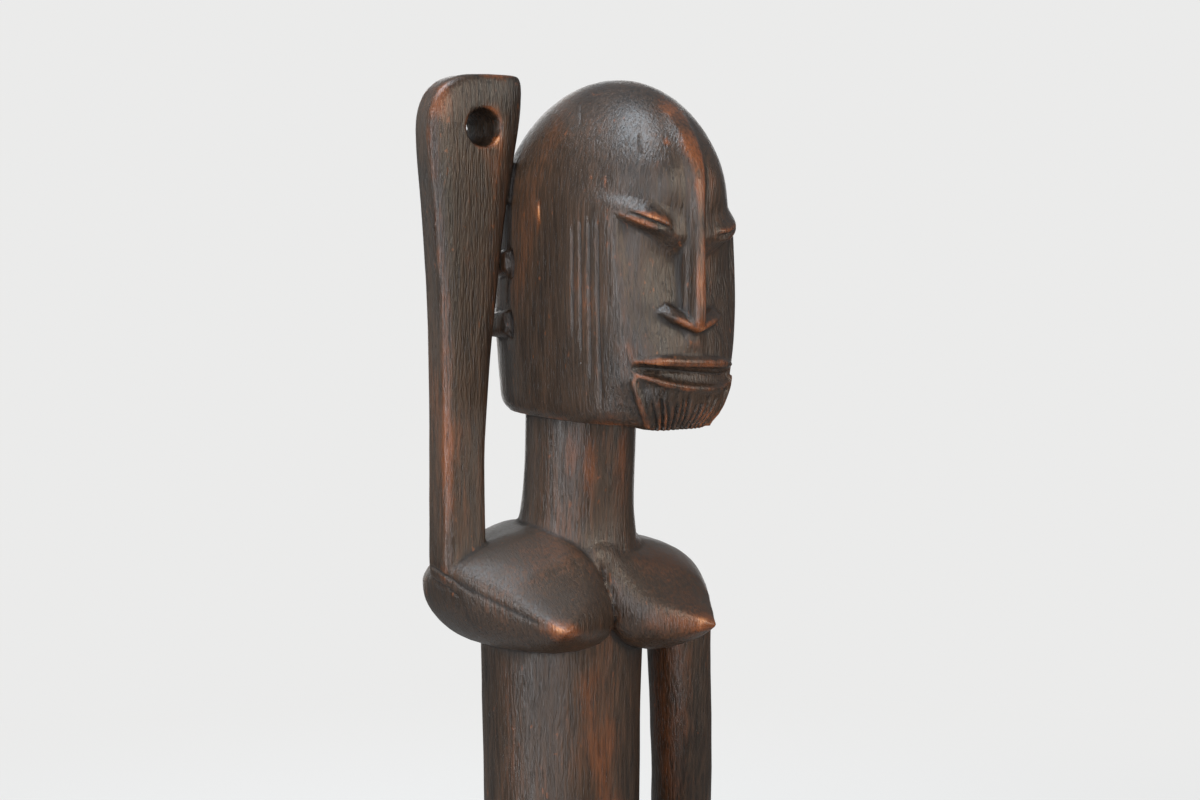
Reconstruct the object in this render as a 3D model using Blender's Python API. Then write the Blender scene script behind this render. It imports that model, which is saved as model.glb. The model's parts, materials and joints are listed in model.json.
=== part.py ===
"""A rider on a horse, carved from one block of dark wood with its low base.

The rider lifts the right arm straight up, with a hole through the broad hand, and rests the left hand on
the horse's neck. Metres, +Z up, the figures face -Y, and the origin is the centre of the base's underside.
"""

import math

import bmesh
import bpy
from mathutils import Vector

MM = 0.001

# Driving dimensions
BASE_LENGTH = 236 * MM
BASE_WIDTH = 120 * MM
BASE_THICKNESS = 22 * MM
BASE_CORNER_RADIUS = 18 * MM
BASE_EDGE_BEVEL = 2.5 * MM
HORSE_HEIGHT = 158 * MM  # from the base's top to the seat
HORSE_LENGTH = 220 * MM  # from the tail to the muzzle
RIDER_HEIGHT = 320 * MM  # from the seat to the top of the raised hand
RIDER_SET_BACK = 14 * MM  # of the rider's axis behind the base's centre
HAND_HOLE_DIAMETER = 12 * MM  # at the palm; it narrows towards the back of the hand
JOIN_DEPTH = 2 * MM  # how far a form runs on into the one that it grows from

# A figure's proportions are written in parts of its own height or length
RIDER_PARTS = 320
HORSE_HEIGHT_PARTS = 158
HORSE_LENGTH_PARTS = 220

WOOD_COLOUR = (0.045, 0.028, 0.021, 1)
WOOD_ROUGHNESS = 0.42
SHARP_ANGLE = math.radians(40)

ACROSS = Vector((1, 0, 0))
FORWARD = Vector((0, -1, 0))
UP = Vector((0, 0, 1))


class Figure:
    """Turns a figure's own proportions into places in the part's frame."""

    def __init__(self, foot, cross_part, forward_part, up_part):
        self.foot = foot
        self.parts = Vector((cross_part, forward_part, up_part))

    def at(self, across, forward, up):
        """The place that many parts to the figure's left, forward and up."""
        return (
            self.foot
            + ACROSS * across * self.parts.x
            + FORWARD * forward * self.parts.y
            + UP * up * self.parts.z
        )

    def size(self):
        """One part of a round form's thickness."""
        return self.parts.x


HORSE_PART = HORSE_HEIGHT / HORSE_HEIGHT_PARTS
RIDER_PART = RIDER_HEIGHT / RIDER_PARTS
SEAT_LEVEL = BASE_THICKNESS + HORSE_HEIGHT
AXIS = -FORWARD * RIDER_SET_BACK
HORSE = Figure(
    AXIS + UP * BASE_THICKNESS,
    HORSE_PART,
    HORSE_LENGTH / HORSE_LENGTH_PARTS,
    HORSE_PART,
)
RIDER = Figure(AXIS + UP * SEAT_LEVEL, RIDER_PART, RIDER_PART, RIDER_PART)


def signed_power(value, power):
    return math.copysign(abs(value) ** power, value)


def bump(distance, width):
    """1 at distance 0, falling smoothly to 0 a few widths away."""
    return math.exp(-((distance / width) ** 2))


def smooth(keys, at):
    """The row of numbers at one position on a smooth curve through the keys, which start with theirs."""
    last = len(keys) - 1
    at = min(max(at, keys[0][0]), keys[last][0])
    i = next(k for k in range(last) if at <= keys[k + 1][0])
    span = keys[i + 1][0] - keys[i][0]
    t = (at - keys[i][0]) / span
    row = []
    for n in range(1, len(keys[0])):
        slopes = []
        for k in (i, i + 1):
            a, b = keys[max(k - 1, 0)], keys[min(k + 1, last)]
            slopes.append((b[n] - a[n]) / (b[0] - a[0]) * span)
        start, end = keys[i][n], keys[i + 1][n]
        row.append(
            start * (1 + 2 * t) * (1 - t) ** 2
            + slopes[0] * t * (1 - t) ** 2
            + end * t * t * (3 - 2 * t)
            + slopes[1] * t * t * (t - 1)
        )
    return row


def oval(centre, across, along, half_across, half_along, power, count, near_power=None):
    """Points round a centre: an ellipse at power 2, squarer above it and pointed below it.

    The half towards -across may have a power of its own. No point lies on the middle plane if the count is
    a multiple of four, so that centred forms cross cleanly.
    """
    points = []
    for k in range(count):
        angle = 2 * math.pi * (k + 0.5) / count
        turn = power if math.cos(angle) > 0 else near_power or power
        a = signed_power(math.cos(angle), 2 / turn) * half_across
        b = signed_power(math.sin(angle), 2 / turn) * half_along
        points.append(centre + across * a + along * b)
    return points


def form(name, rings):
    """A closed solid skinned over rings of points, as a helper object that the statue is joined from."""
    shape = bmesh.new()
    loops = [[shape.verts.new(p) for p in ring] for ring in rings]
    count = len(loops[0])
    for low, high in zip(loops, loops[1:]):
        for k in range(count):
            n = (k + 1) % count
            shape.faces.new((low[k], low[n], high[n], high[k]))
    shape.faces.new(loops[0][::-1])
    shape.faces.new(loops[-1])
    bmesh.ops.recalc_face_normals(shape, faces=shape.faces)
    mesh = bpy.data.meshes.new(name)
    shape.to_mesh(mesh)
    shape.free()
    mesh.shade_smooth()
    mesh.set_sharp_from_angle(angle=SHARP_ANGLE)
    return bpy.data.objects.new(name, mesh)


def limb(name, figure, keys, count=14, steps=10, axes=None, side=ACROSS):
    """A form along a smooth path. Each key is (across, forward, up, half width, half depth, power).

    The rings lie in the plane of the two given axes, or else stand square to the path with their widths
    turned towards the side vector.
    """
    numbered = [(k, *key) for k, key in enumerate(keys)]
    rows = [smooth(numbered, k * (len(keys) - 1) / steps) for k in range(steps + 1)]
    centres = [figure.at(*row[:3]) for row in rows]
    rings = []
    for k, row in enumerate(rows):
        if axes:
            across, along = axes
        else:
            path = centres[min(k + 1, steps)] - centres[max(k - 1, 0)]
            along = path.cross(side).normalized()
            across = along.cross(path).normalized()
        half_across, half_along, power = row[3:]
        rings.append(
            oval(
                centres[k],
                across,
                along,
                max(half_across, 0.2) * figure.size(),
                max(half_along, 0.2) * figure.size(),
                power,
                count,
            )
        )
    return form(name, rings)


# The base


def base_slab():
    """The low base: a slab with round corners and worn edges."""
    half_width = BASE_WIDTH / 2 - BASE_CORNER_RADIUS
    half_length = BASE_LENGTH / 2 - BASE_CORNER_RADIUS
    corner_steps = 4
    outline = []
    for quarter, (sx, sy) in enumerate(((1, 1), (-1, 1), (-1, -1), (1, -1))):
        for k in range(corner_steps + 1):
            angle = (quarter + k / corner_steps) * math.pi / 2
            x = sx * half_width + BASE_CORNER_RADIUS * math.cos(angle)
            y = sy * half_length + BASE_CORNER_RADIUS * math.sin(angle)
            outline.append(Vector((x, y, 0)))
    slab = form("base_slab", [outline, [p + UP * BASE_THICKNESS for p in outline]])
    shape = bmesh.new()
    shape.from_mesh(slab.data)
    rims = [e for e in shape.edges if abs(e.verts[0].co.z - e.verts[1].co.z) < 0.1 * MM]
    bmesh.ops.bevel(
        shape, geom=rims, offset=BASE_EDGE_BEVEL, segments=2, affect="EDGES"
    )
    shape.to_mesh(slab.data)
    shape.free()
    return slab


# The horse


def horse_body():
    """Barrel, chest and rump, along the base."""
    keys = [
        (0, -90, 121, 8, 9, 2.0),
        (0, -86, 122, 20, 21, 2.2),
        (0, -68, 122, 27, 29, 2.3),
        (0, -36, 120, 27, 28, 2.3),
        (0, 4, 118, 27, 28, 2.3),
        (0, 36, 119, 27, 29, 2.3),
        (0, 60, 122, 24, 28, 2.2),
        (0, 71, 124, 17, 20, 2.1),
        (0, 77, 124, 5, 6, 2.0),
    ]
    return limb("horse_body", HORSE, keys, 20, 10, (ACROSS, UP))


def horse_neck():
    keys = [
        (0, 38, 126, 20, 24, 2.2),
        (0, 58, 150, 18, 23, 2.2),
        (0, 74, 180, 14, 19, 2.3),
        (0, 86, 208, 11.5, 16, 2.3),
        (0, 90, 226, 10, 12, 2.2),
    ]
    return limb("horse_neck", HORSE, keys, 16, 7)


def horse_head():
    """A long head with a blunt muzzle, carried low in front of the neck."""
    keys = [
        (0, 76, 229, 6, 7, 2.2),
        (0, 82, 228, 10.5, 12, 2.4),
        (0, 94, 217, 12, 14, 2.6),
        (0, 106, 202, 10.5, 11.5, 2.8),
        (0, 117, 187, 9.5, 9.5, 2.8),
        (0, 123, 178, 9.5, 9.5, 2.8),
        (0, 126, 174, 7, 7, 2.4),
    ]
    return limb("horse_head", HORSE, keys, 16, 9)


def horse_ears():
    ears = []
    for side in (-1, 1):
        keys = [
            (side * 7, 80, 232, 4.4, 3.4, 2.0),
            (side * 8.5, 79, 242, 3.6, 2.6, 2.0),
            (side * 9, 80, 250, 1.2, 1.0, 2.0),
        ]
        ears.append(limb(f"horse_ear_{side}", HORSE, keys, 8, 4))
    return ears


def horse_mane():
    """A crest along the back of the neck, notched into locks."""
    keys = [
        (0, 26, 146, 3.2, 7, 2.4),
        (0, 38, 166, 3.2, 10, 2.4),
        (0, 56, 192, 3.2, 10, 2.4),
        (0, 68, 218, 3.2, 10, 2.4),
        (0, 78, 236, 3.0, 8, 2.4),
        (0, 84, 242, 2.0, 4, 2.4),
    ]
    return limb("horse_mane", HORSE, keys, 8, 7)


def horse_tail():
    keys = [
        (0, -82, 138, 6, 6, 2.0),
        (0, -91, 132, 6.5, 5.5, 2.0),
        (0, -94, 112, 6.5, 5, 2.0),
        (0, -92, 88, 6, 4.5, 2.0),
        (0, -88, 72, 2.5, 2, 2.0),
    ]
    return limb("horse_tail", HORSE, keys, 8, 7)


def horse_legs():
    """Four short legs with knees and hooves, which stand on the base."""
    sunk = -JOIN_DEPTH / HORSE_PART
    legs = []
    for side in (-1, 1):
        for pair, forward, bend in (("fore", 50, 3), ("hind", -68, -5)):
            keys = [
                (side * 15, forward, 112, 11, 15, 2.3),
                (side * 16, forward, 92, 11, 14, 2.3),
                (side * 17.5, forward + bend, 66, 9.5, 11, 2.4),
                (side * 18, forward + bend, 52, 10, 11.5, 2.5),
                (side * 18, forward, 30, 8.5, 9, 2.5),
                (side * 18, forward, 14, 9, 10, 2.5),
                (side * 18, forward + 2, 6, 11, 13, 2.6),
                (side * 18, forward + 2, sunk, 11.5, 13.5, 2.6),
            ]
            legs.append(limb(f"horse_{pair}_leg_{side}", HORSE, keys, 10, 9))
    return legs


def saddle():
    """A thick pad over the back, raised in front of the rider and behind."""
    parts = []
    keys = [
        (0, -38, 121, 25, 28, 2.3),
        (0, -36, 121, 29, 31, 2.3),
        (0, 30, 121, 29, 31, 2.3),
        (0, 32, 121, 25, 28, 2.3),
    ]
    parts.append(limb("saddle_pad", HORSE, keys, 20, 3, (ACROSS, UP)))
    for name, forward, rise in (("pommel", 27, 160), ("cantle", -37, 163)):
        keys = [
            (0, forward - 4, rise - 14, 13, 6, 2.4),
            (0, forward - 3, rise - 12, 17, 10, 2.4),
            (0, forward + 2, rise - 12, 17, 10, 2.4),
            (0, forward + 4, rise - 14, 13, 6, 2.4),
        ]
        parts.append(limb(name, HORSE, keys, 12, 3, (ACROSS, UP)))
    return parts


def bridle():
    """Raised straps round the muzzle and behind the cheeks."""
    straps = []
    for name, forward, up, size in (
        ("noseband", 113.5, 192, 11.6),
        ("cheek_strap", 95, 215.5, 14.6),
    ):
        keys = [
            (0, forward - 1.4, up + 1.8, size * 0.98, size, 2.6),
            (0, forward + 1.4, up - 1.8, size * 0.94, size * 0.96, 2.6),
        ]
        straps.append(limb(name, HORSE, keys, 16, 1))
    return straps


def reins():
    """A flat strap from one side of the muzzle round behind the neck to the other, below the hand."""
    side_keys = [
        (9.6, 113, 191, 2.6, 1.8, 2.6),
        (12.2, 97, 193, 2.6, 1.8, 2.6),
        (14.2, 80, 194, 2.6, 1.8, 2.6),
        (12.6, 64, 196, 2.6, 1.8, 2.6),
        (6.5, 51, 199, 2.6, 1.8, 2.6),
    ]
    keys = [(-key[0], *key[1:]) for key in side_keys]
    keys += [(0, 45, 201, 2.6, 1.8, 2.6)] + side_keys[::-1]
    return limb("reins", HORSE, keys, 6, 12, side=UP)


# The rider's body


def torso():
    """The long round trunk, set into the saddle."""
    keys = [
        (0, 0, -10, 24, 23, 2.2),
        (0, 0, 8, 26.5, 25.5, 2.2),
        (0, 0, 22, 25.4, 25, 2.1),
        (0, 0, 60, 25.2, 25, 2.1),
        (0, 0, 137, 26.4, 26, 2.1),
        (0, 2, 158, 27, 26, 2.2),
        (0, 3.5, 171, 24, 23.5, 2.2),
        (0, 6, 176.5, 17, 17.5, 2.2),
    ]
    return limb("torso", RIDER, keys, 24, 7, (ACROSS, FORWARD))


def belt():
    keys = [
        (0, 0, 12, 24, 23.5, 2.1),
        (0, 0, 13, 27.6, 27, 2.1),
        (0, 0, 21, 27.2, 26.8, 2.1),
        (0, 0, 22, 24, 23.5, 2.1),
    ]
    return limb("belt", RIDER, keys, 20, 3, (ACROSS, FORWARD))


def breasts():
    """Each side of the chest runs from the shoulder to one pointed breast, ridged outside and full inside."""
    slices = [  # across, forward, rise, half width, half height, outer power, inner power
        (19, -23, 0.0, 17, 10, 2.2, 3.0),
        (21, -18, 0.4, 20.8, 15, 2.3, 3.6),
        (23.2, -6, 1.0, 23.4, 18.6, 2.3, 3.8),
        (23.8, 6, 1.0, 24.2, 19.4, 2.0, 4.0),
        (22.4, 18, 0.4, 22.8, 18.2, 1.8, 4.0),
        (19.6, 28, -1.0, 19.8, 16, 1.7, 3.4),
        (19.8, 36, -3.4, 14.6, 11.4, 1.6, 2.2),
        (24.6, 43, -4.7, 6.4, 5.9, 1.7, 2.0),
        (27.3, 47.2, -5, 1.6, 1.6, 2.0, 2.0),
    ]
    steps = 9
    numbered = [(k, *row) for k, row in enumerate(slices)]
    rows = [smooth(numbered, k * (len(slices) - 1) / steps) for k in range(steps + 1)]
    sides = []
    for side, middle, thickness in ((-1, 157.0, 1.0), (1, 153.0, 0.88)):
        rings = []
        for across, forward, rise, half_width, half_height, outer, inner in rows:
            centre = RIDER.at(side * across, forward, middle + rise)
            half_across = half_width * RIDER_PART
            half_up = half_height * thickness * RIDER_PART
            rings.append(oval(centre, ACROSS * side, UP, half_across, half_up, outer, 20, inner))
        sides.append(form(f"breast_{side}", rings))
    return sides


def raised_arm():
    """The right arm, one upright post that widens to a flat hand. Its edges are given from below upwards."""
    edges = [  # height, outer edge, inner edge, half thickness
        (158, 49.4, 33.6, 7.0),
        (172, 49.4, 33.8, 7.0),
        (200, 49.2, 34.0, 6.9),
        (225, 49.2, 32.4, 6.9),
        (250, 49.8, 29.6, 6.9),
        (275, 51.4, 26.2, 7.0),
        (296, 53.2, 23.0, 7.1),
        (306, 53.2, 20.9, 7.2),
        (312.5, 51.2, 20.0, 7.0),
        (317, 47.4, 20.0, 6.6),
        (319.4, 42.0, 21.0, 6.0),
        (320, 36.0, 23.4, 5.0),
    ]
    keys = []
    for up, outer, inner, half in edges:
        keys.append((-(outer + inner) / 2, 5, up, (outer - inner) / 2, half, 4.6))
    return limb("raised_arm", RIDER, keys, 16, 13, (ACROSS, FORWARD))


def hand_hole():
    """The cutter of the tapered hole through the raised hand."""
    radius = HAND_HOLE_DIAMETER / 2 / RIDER_PART
    keys = [
        (-35.6, 22, 303.5, radius * 1.12, radius * 1.12, 2.0),
        (-35.6, 12, 303.5, radius, radius, 2.0),
        (-35.6, -2, 303.5, radius * 0.8, radius * 0.8, 2.0),
        (-35.6, -12, 303.5, radius * 0.74, radius * 0.74, 2.0),
    ]
    return limb("hand_hole", RIDER, keys, 16, 3, (ACROSS, UP))


def lowered_arm():
    """The left arm hangs to the elbow, and the forearm reaches down to the horse's neck."""
    elbow = RIDER.at(46.5, 0, 66)
    hand = HORSE.at(9, 58, 192)
    keys = [
        (39.5, 5.5, 155, 10, 11, 2.2),
        (41.8, 6, 146, 11, 11.5, 2.2),
        (43.2, 6, 128, 10.4, 10.8, 2.2),
        (45, 5, 96, 10.2, 10.2, 2.2),
        (46.3, 3, 74, 10, 10, 2.2),
    ]
    upper = limb("upper_arm", RIDER, keys, 12, 5)
    # The forearm's path starts inside the elbow and ends on the neck, wherever the two figures put them.
    reach = hand - elbow
    rings = []
    steps = 6
    for k in range(steps + 1):
        t = k / steps
        sag = UP * math.sin(math.pi * t) * 3 * RIDER_PART
        centre = elbow + reach * t - sag
        across = reach.cross(UP).normalized()
        along = across.cross(reach).normalized()
        wrist = bump(t - 0.78, 0.2)
        half = (10.4 - 3.0 * t - 1.6 * wrist) * RIDER_PART
        rings.append(oval(centre, across, along, half, half * 0.95, 2.2, 12))
    forearm = form("forearm", rings)
    grip = [
        (13, 50, 188, 5, 5, 2.2),
        (10.5, 56, 192, 8, 7, 2.4),
        (5, 64, 197, 7.5, 7, 2.4),
        (-2, 70, 201, 3.5, 3.5, 2.2),
    ]
    return [upper, elbow_knob(elbow), forearm, limb("gripping_hand", HORSE, grip, 10, 6)]


def elbow_knob(elbow):
    """The rounded point of the elbow, which closes the bend."""
    radius = 10.6 * RIDER_PART
    rings = []
    steps = 8
    for k in range(1, steps):
        angle = math.pi * k / steps
        centre = elbow - UP * radius * math.cos(angle)
        half = radius * math.sin(angle)
        rings.append(oval(centre, ACROSS, FORWARD, half, half, 2.0, 10))
    return form("elbow", rings)


def legs():
    """The rider's legs are carved in one with the horse's flanks, knees forward and feet flat."""
    parts = []
    for side in (-1, 1):
        keys = [
            (side * 15, -4, 152, 13, 13, 2.1),
            (side * 24, 6, 146, 13, 13, 2.1),
            (side * 31, 24, 134, 11, 12, 2.1),
            (side * 33, 36, 120, 9.5, 11, 2.1),
            (side * 33, 36, 106, 8.5, 10, 2.1),
            (side * 32, 28, 84, 7.5, 8.5, 2.1),
            (side * 31.5, 22, 66, 6.5, 7, 2.1),
        ]
        parts.append(limb(f"leg_{side}", HORSE, keys, 10, 8))
        keys = [
            (side * 31.5, 14, 60, 4, 4, 2.2),
            (side * 31.5, 18, 61, 6.5, 6, 2.4),
            (side * 31.5, 30, 59, 7, 5, 2.6),
            (side * 31.5, 40, 57.5, 7.2, 4, 2.8),
            (side * 31.5, 45, 57, 5, 2.6, 2.4),
        ]
        parts.append(limb(f"foot_{side}", HORSE, keys, 10, 5, (ACROSS, UP)))
    return parts


# The rider's head; its heights are above the jaw

JAW_LEVEL = 214
HEAD_MIDDLE = 30.5
DOME_FOOT = 66
DOME_HEIGHT = 38
HEAD_KEYS = [  # height, forward end, back end, half width, squareness
    (0, 67.5, -8.5, 22.2, 2.9),
    (3, 69.4, -11.0, 24.0, 3.0),
    (9, 71.8, -12, 24.6, 3.0),
    (17, 74.4, -12, 24.9, 3.1),
    (36, 75.6, -12, 25.4, 3.4),
    (DOME_FOOT, 75.4, -12, 25.5, 3.2),
]


def head_size(up):
    """Forward reach, backward reach, half width and squareness of the head at a height."""
    front, back, half_width, power = smooth(HEAD_KEYS, min(up, DOME_FOOT))
    share = max(0.0, (up - DOME_FOOT) / DOME_HEIGHT)
    dome = max(0.0, 1 - share**2.15) ** (1 / 2.15)
    reach = (front - HEAD_MIDDLE) * dome
    return reach, (HEAD_MIDDLE - back) * dome, half_width * dome, power - 0.8 * share


def face_relief(across, up):
    """How far the face stands out from the plain head: hollow cheeks, brows above the eyes."""
    side = abs(across)
    cheek = -3.0 * bump(side - 12.5, 7) * bump(up - 38, 15)
    socket = -1.6 * bump(side - 12, 6) * bump(up - 63, 4.5)
    brow = 1.3 * bump(side - 12, 7) * bump(up - 75, 7)
    return cheek + socket + brow


def face_forward(across, up):
    """Where the face's surface lies, forward of the rider's axis."""
    reach, _, half_width, power = head_size(up)
    share = min(1.0, abs(across) / half_width)
    return HEAD_MIDDLE + reach * (1 - share**power) ** (1 / power) + face_relief(across, up)


def on_head(across, forward, up):
    return RIDER.at(across, forward, JAW_LEVEL + up)


def head():
    """A long narrow head: upright walls, a domed top and a flat jaw."""
    wall = [0, 1.5, 5, 11, 18, 27, 36, 45, 53, 59, 64]
    dome = [DOME_FOOT + DOME_HEIGHT * math.sin(math.radians(a)) for a in (8, 22, 36, 50, 64, 78)]
    rings = []
    count = 36
    for up in wall + dome:
        reach, back, half_width, power = head_size(up)
        ring = []
        for k in range(count):
            angle = 2 * math.pi * (k + 0.5) / count
            across = half_width * signed_power(math.sin(angle), 2 / power)
            if math.cos(angle) >= 0:
                forward = face_forward(across, up)
            else:
                forward = HEAD_MIDDLE - back * abs(math.cos(angle)) ** (2 / power)
            ring.append(on_head(across, forward, up))
        rings.append(ring)
    return form("head", rings)


def nose():
    """The crest of the forehead runs straight down into a thin nose with a tip like an arrowhead."""
    crest = [  # height above the jaw, how far it stands out, half width at its foot
        (93, 0.3, 3.4),
        (84, 2.0, 5.4),
        (76, 3.0, 5.6),
        (66, 3.6, 4.6),
        (56, 4.4, 3.2),
        (42, 5.0, 3.0),
        (32, 5.4, 3.4),
        (28.6, 4.0, 2.4),
    ]
    rings = []
    for up, stand, foot in crest:
        surface = face_forward(0, up)
        outline = [(-foot, surface - 6), (-foot, surface - 1.6), (-foot * 0.42, surface + stand * 0.6)]
        outline += [(0, surface + stand)] + [(-a, f) for a, f in outline[::-1]]
        rings.append([on_head(a, f, up) for a, f in outline])
    wing = [(3.5, 76.4, 31.6, 2.2, 3.0), (7, 74.6, 33.2, 2.0, 2.6), (10.2, 72.4, 34.8, 0.9, 1.0)]
    keys = [(-a, f, JAW_LEVEL + up, w, d, 2.0) for a, f, up, w, d in wing[::-1]]
    keys.append((0, 77.6, JAW_LEVEL + 30.4, 2.2, 3.4, 2.0))
    keys += [(a, f, JAW_LEVEL + up, w, d, 2.0) for a, f, up, w, d in wing]
    return [form("nose_crest", rings), limb("nostrils", RIDER, keys, 8, 9, side=UP)]


def eyes():
    """Nearly closed almond eyes, which slant down towards the nose."""
    lids = []
    for side in (-1, 1):
        rings = []
        steps = 7
        for k in range(steps + 1):
            t = k / steps
            across = 21.4 - 14.6 * t
            up = 64.9 - 8.6 * t
            swell = math.sin(math.pi * t) ** 0.75
            middle = on_head(side * across, face_forward(across, up) - 1.6, up)
            outward = on_head(side * across * 1.6, face_forward(across, up) + 22, up) - middle
            half_up = (0.3 + 2.9 * swell) * RIDER_PART
            half_out = (0.3 + 3.6 * swell) * RIDER_PART
            rings.append(oval(middle, outward.normalized(), UP, half_out, half_up, 2.0, 6))
        lids.append(form(f"eye_{side}", rings))
    return lids


def lips():
    """Two raised lips that run right across the face, apart in the middle."""
    ridges = []
    half_mouth = 18.6
    steps = 10
    for name, middle, corner, thick in (
        ("upper_lip", 18.6, 17.4, 1.75),
        ("lower_lip", 11.9, 15.2, 1.75),
    ):
        rings = []
        for k in range(steps + 1):
            across = half_mouth * (2 * k / steps - 1)
            share = (across / half_mouth) ** 2
            up = middle + (corner - middle) * share
            surface = face_forward(across, up)
            centre = on_head(across, surface + 0.5 - 0.5 * share, up)
            half = (thick - 0.7 * share) * RIDER_PART
            outward = Vector((across / half_mouth * 0.5, -1, 0)).normalized()
            rings.append(oval(centre, outward, UP, half * 1.35, half, 2.0, 6))
        ridges.append(form(name, rings))
    return ridges


def beard():
    """A short square beard under the lower lip, cut into upright locks."""
    locks = 9
    samples = locks * 2
    rings = []
    for up, half_width, stand in ((-1.6, 15.0, 0.6), (0, 16.0, 1.4), (4, 17.2, 1.7), (9.4, 18.4, 1.6)):
        ring = []
        for k in range(samples + 1):
            share = 2 * k / samples - 1
            across = half_width * share
            groove = 0.75 * (1 - abs(math.cos(math.pi * locks * k / samples)))
            edge = 0.8 * share**6
            surface = face_forward(across, max(up, 0))
            ring.append(on_head(across, surface + stand - groove * 0.8 - edge, up))
        inner = HEAD_MIDDLE + 20
        ring += [on_head(half_width * 0.9, inner, up), on_head(-half_width * 0.9, inner, up)]
        rings.append(ring)
    return form("beard", rings)


def ears():
    """A small ear on each side of the head: a rim bent like a bracket, open to the back."""
    rims = []
    for side in (-1, 1):
        keys = []
        steps = 6
        for k in range(steps + 1):
            angle = math.radians(-125 + 250 * k / steps)
            across = side * (24.2 + 0.8 * abs(math.sin(angle)))
            forward = 4 + 5.5 * math.cos(angle)
            up = JAW_LEVEL + 37.5 + 11.5 * math.sin(angle)
            keys.append((across, forward, up, 2.4, 2.6, 2.2))
        rims.append(limb(f"ear_{side}", RIDER, keys, 6, 8))
    return rims


def neck():
    keys = [
        (0, 8, 168, 19, 19.5, 2.3),
        (0, 9.4, 178, 17.8, 18, 2.3),
        (0, 11, 195, 17.2, 17.2, 2.3),
        (0, 12.4, JAW_LEVEL + 4, 17.2, 17.2, 2.3),
    ]
    return limb("neck", RIDER, keys, 20, 3, (ACROSS, FORWARD))


# The statue


def wood():
    material = bpy.data.materials.new("dark_wood")
    material.use_nodes = True
    shader = material.node_tree.nodes["Principled BSDF"]
    shader.inputs["Base Color"].default_value = WOOD_COLOUR
    shader.inputs["Roughness"].default_value = WOOD_ROUGHNESS
    shader.inputs["Metallic"].default_value = 0.0
    return material


def helpers(name, objects):
    """A collection of forms that are joined to the statue or cut from it, and aren't shown."""
    group = bpy.data.collections.new(name)
    bpy.context.scene.collection.children.link(group)
    for helper in objects:
        helper.hide_render = True
        helper.display_type = "WIRE"
        group.objects.link(helper)
    return group


def carve(statue, name, operation, group):
    step = statue.modifiers.new(name, "BOOLEAN")
    step.operation = operation
    step.solver = "EXACT"
    step.operand_type = "COLLECTION"
    step.collection = group


def main():
    for old in list(bpy.data.objects):
        bpy.data.objects.remove(old)
    grown = [
        horse_body(),
        horse_neck(),
        horse_head(),
        *horse_ears(),
        horse_mane(),
        horse_tail(),
        *horse_legs(),
        *saddle(),
        *bridle(),
        reins(),
        torso(),
        belt(),
        *breasts(),
        raised_arm(),
        *lowered_arm(),
        *legs(),
        neck(),
        head(),
        *nose(),
        *eyes(),
        *lips(),
        beard(),
        *ears(),
    ]
    statue = base_slab()
    statue.name = "carved_statue"
    statue.data.name = "carved_statue"
    statue.data.materials.append(wood())
    bpy.context.scene.collection.objects.link(statue)
    carve(statue, "carved_in_one", "UNION", helpers("grown_forms", grown))
    carve(statue, "hole_in_hand", "DIFFERENCE", helpers("cut_forms", [hand_hole()]))


main()
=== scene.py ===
"""A rider on a horse, carved from one block of dark wood with its low base: the looks.

Everything is cut from one block, so it is one piece. Closed forms are skinned over rings of points, joined
and softened as one surface, and then the lines, cracks and tool marks are cut into that surface.
Metres, +Z up, the figures face -Y, and the origin is the centre of the base's underside.
"""

import itertools
import json
import math

import bmesh
import bpy
import numpy as np
from bpy.props import FloatProperty, FloatVectorProperty, IntProperty, PointerProperty
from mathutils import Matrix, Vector

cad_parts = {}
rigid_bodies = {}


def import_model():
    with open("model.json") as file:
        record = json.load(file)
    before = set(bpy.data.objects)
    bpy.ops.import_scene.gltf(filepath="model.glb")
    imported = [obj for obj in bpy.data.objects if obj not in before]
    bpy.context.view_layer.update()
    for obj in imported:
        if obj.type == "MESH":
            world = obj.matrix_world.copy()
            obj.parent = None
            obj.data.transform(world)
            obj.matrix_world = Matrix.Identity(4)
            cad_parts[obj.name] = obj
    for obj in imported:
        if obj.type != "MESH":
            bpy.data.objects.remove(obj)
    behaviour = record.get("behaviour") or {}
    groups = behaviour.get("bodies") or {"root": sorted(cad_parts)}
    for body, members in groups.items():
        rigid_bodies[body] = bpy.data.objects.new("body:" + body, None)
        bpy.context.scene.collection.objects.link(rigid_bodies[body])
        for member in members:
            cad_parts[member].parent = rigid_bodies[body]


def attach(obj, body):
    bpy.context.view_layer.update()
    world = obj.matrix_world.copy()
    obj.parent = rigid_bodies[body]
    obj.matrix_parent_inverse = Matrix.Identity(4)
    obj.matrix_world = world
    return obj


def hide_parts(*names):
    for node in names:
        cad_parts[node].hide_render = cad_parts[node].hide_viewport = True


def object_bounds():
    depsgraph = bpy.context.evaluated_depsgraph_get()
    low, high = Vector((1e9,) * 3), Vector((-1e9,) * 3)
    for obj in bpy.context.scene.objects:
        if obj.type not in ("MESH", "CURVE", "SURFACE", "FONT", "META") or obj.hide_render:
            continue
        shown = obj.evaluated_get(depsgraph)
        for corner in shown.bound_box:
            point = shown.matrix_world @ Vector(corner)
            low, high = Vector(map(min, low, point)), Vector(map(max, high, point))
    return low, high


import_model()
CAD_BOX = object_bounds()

bl_info = {
    "name": "Carved Rider",
    "version": (1, 0, 0),
    "blender": (4, 5, 0),
    "location": "View3D > Sidebar > Carved Rider",
    "description": "Builds a dark wooden rider on a horse, carved in one piece with its base",
    "category": "Add Mesh",
}

MM = 0.001
PIECE = "carved_rider_and_horse"
NODE = "carved_statue"
FORMS = "forms_to_join"


# Settings


def length(name, default, description, low=0.0):
    return FloatProperty(
        name=name, default=default, min=low, description=description, unit="LENGTH", subtype="DISTANCE",
        precision=4,
    )


def share(name, default, description, high=1.0):
    return FloatProperty(name=name, default=default, min=0.0, max=high, description=description)


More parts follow.
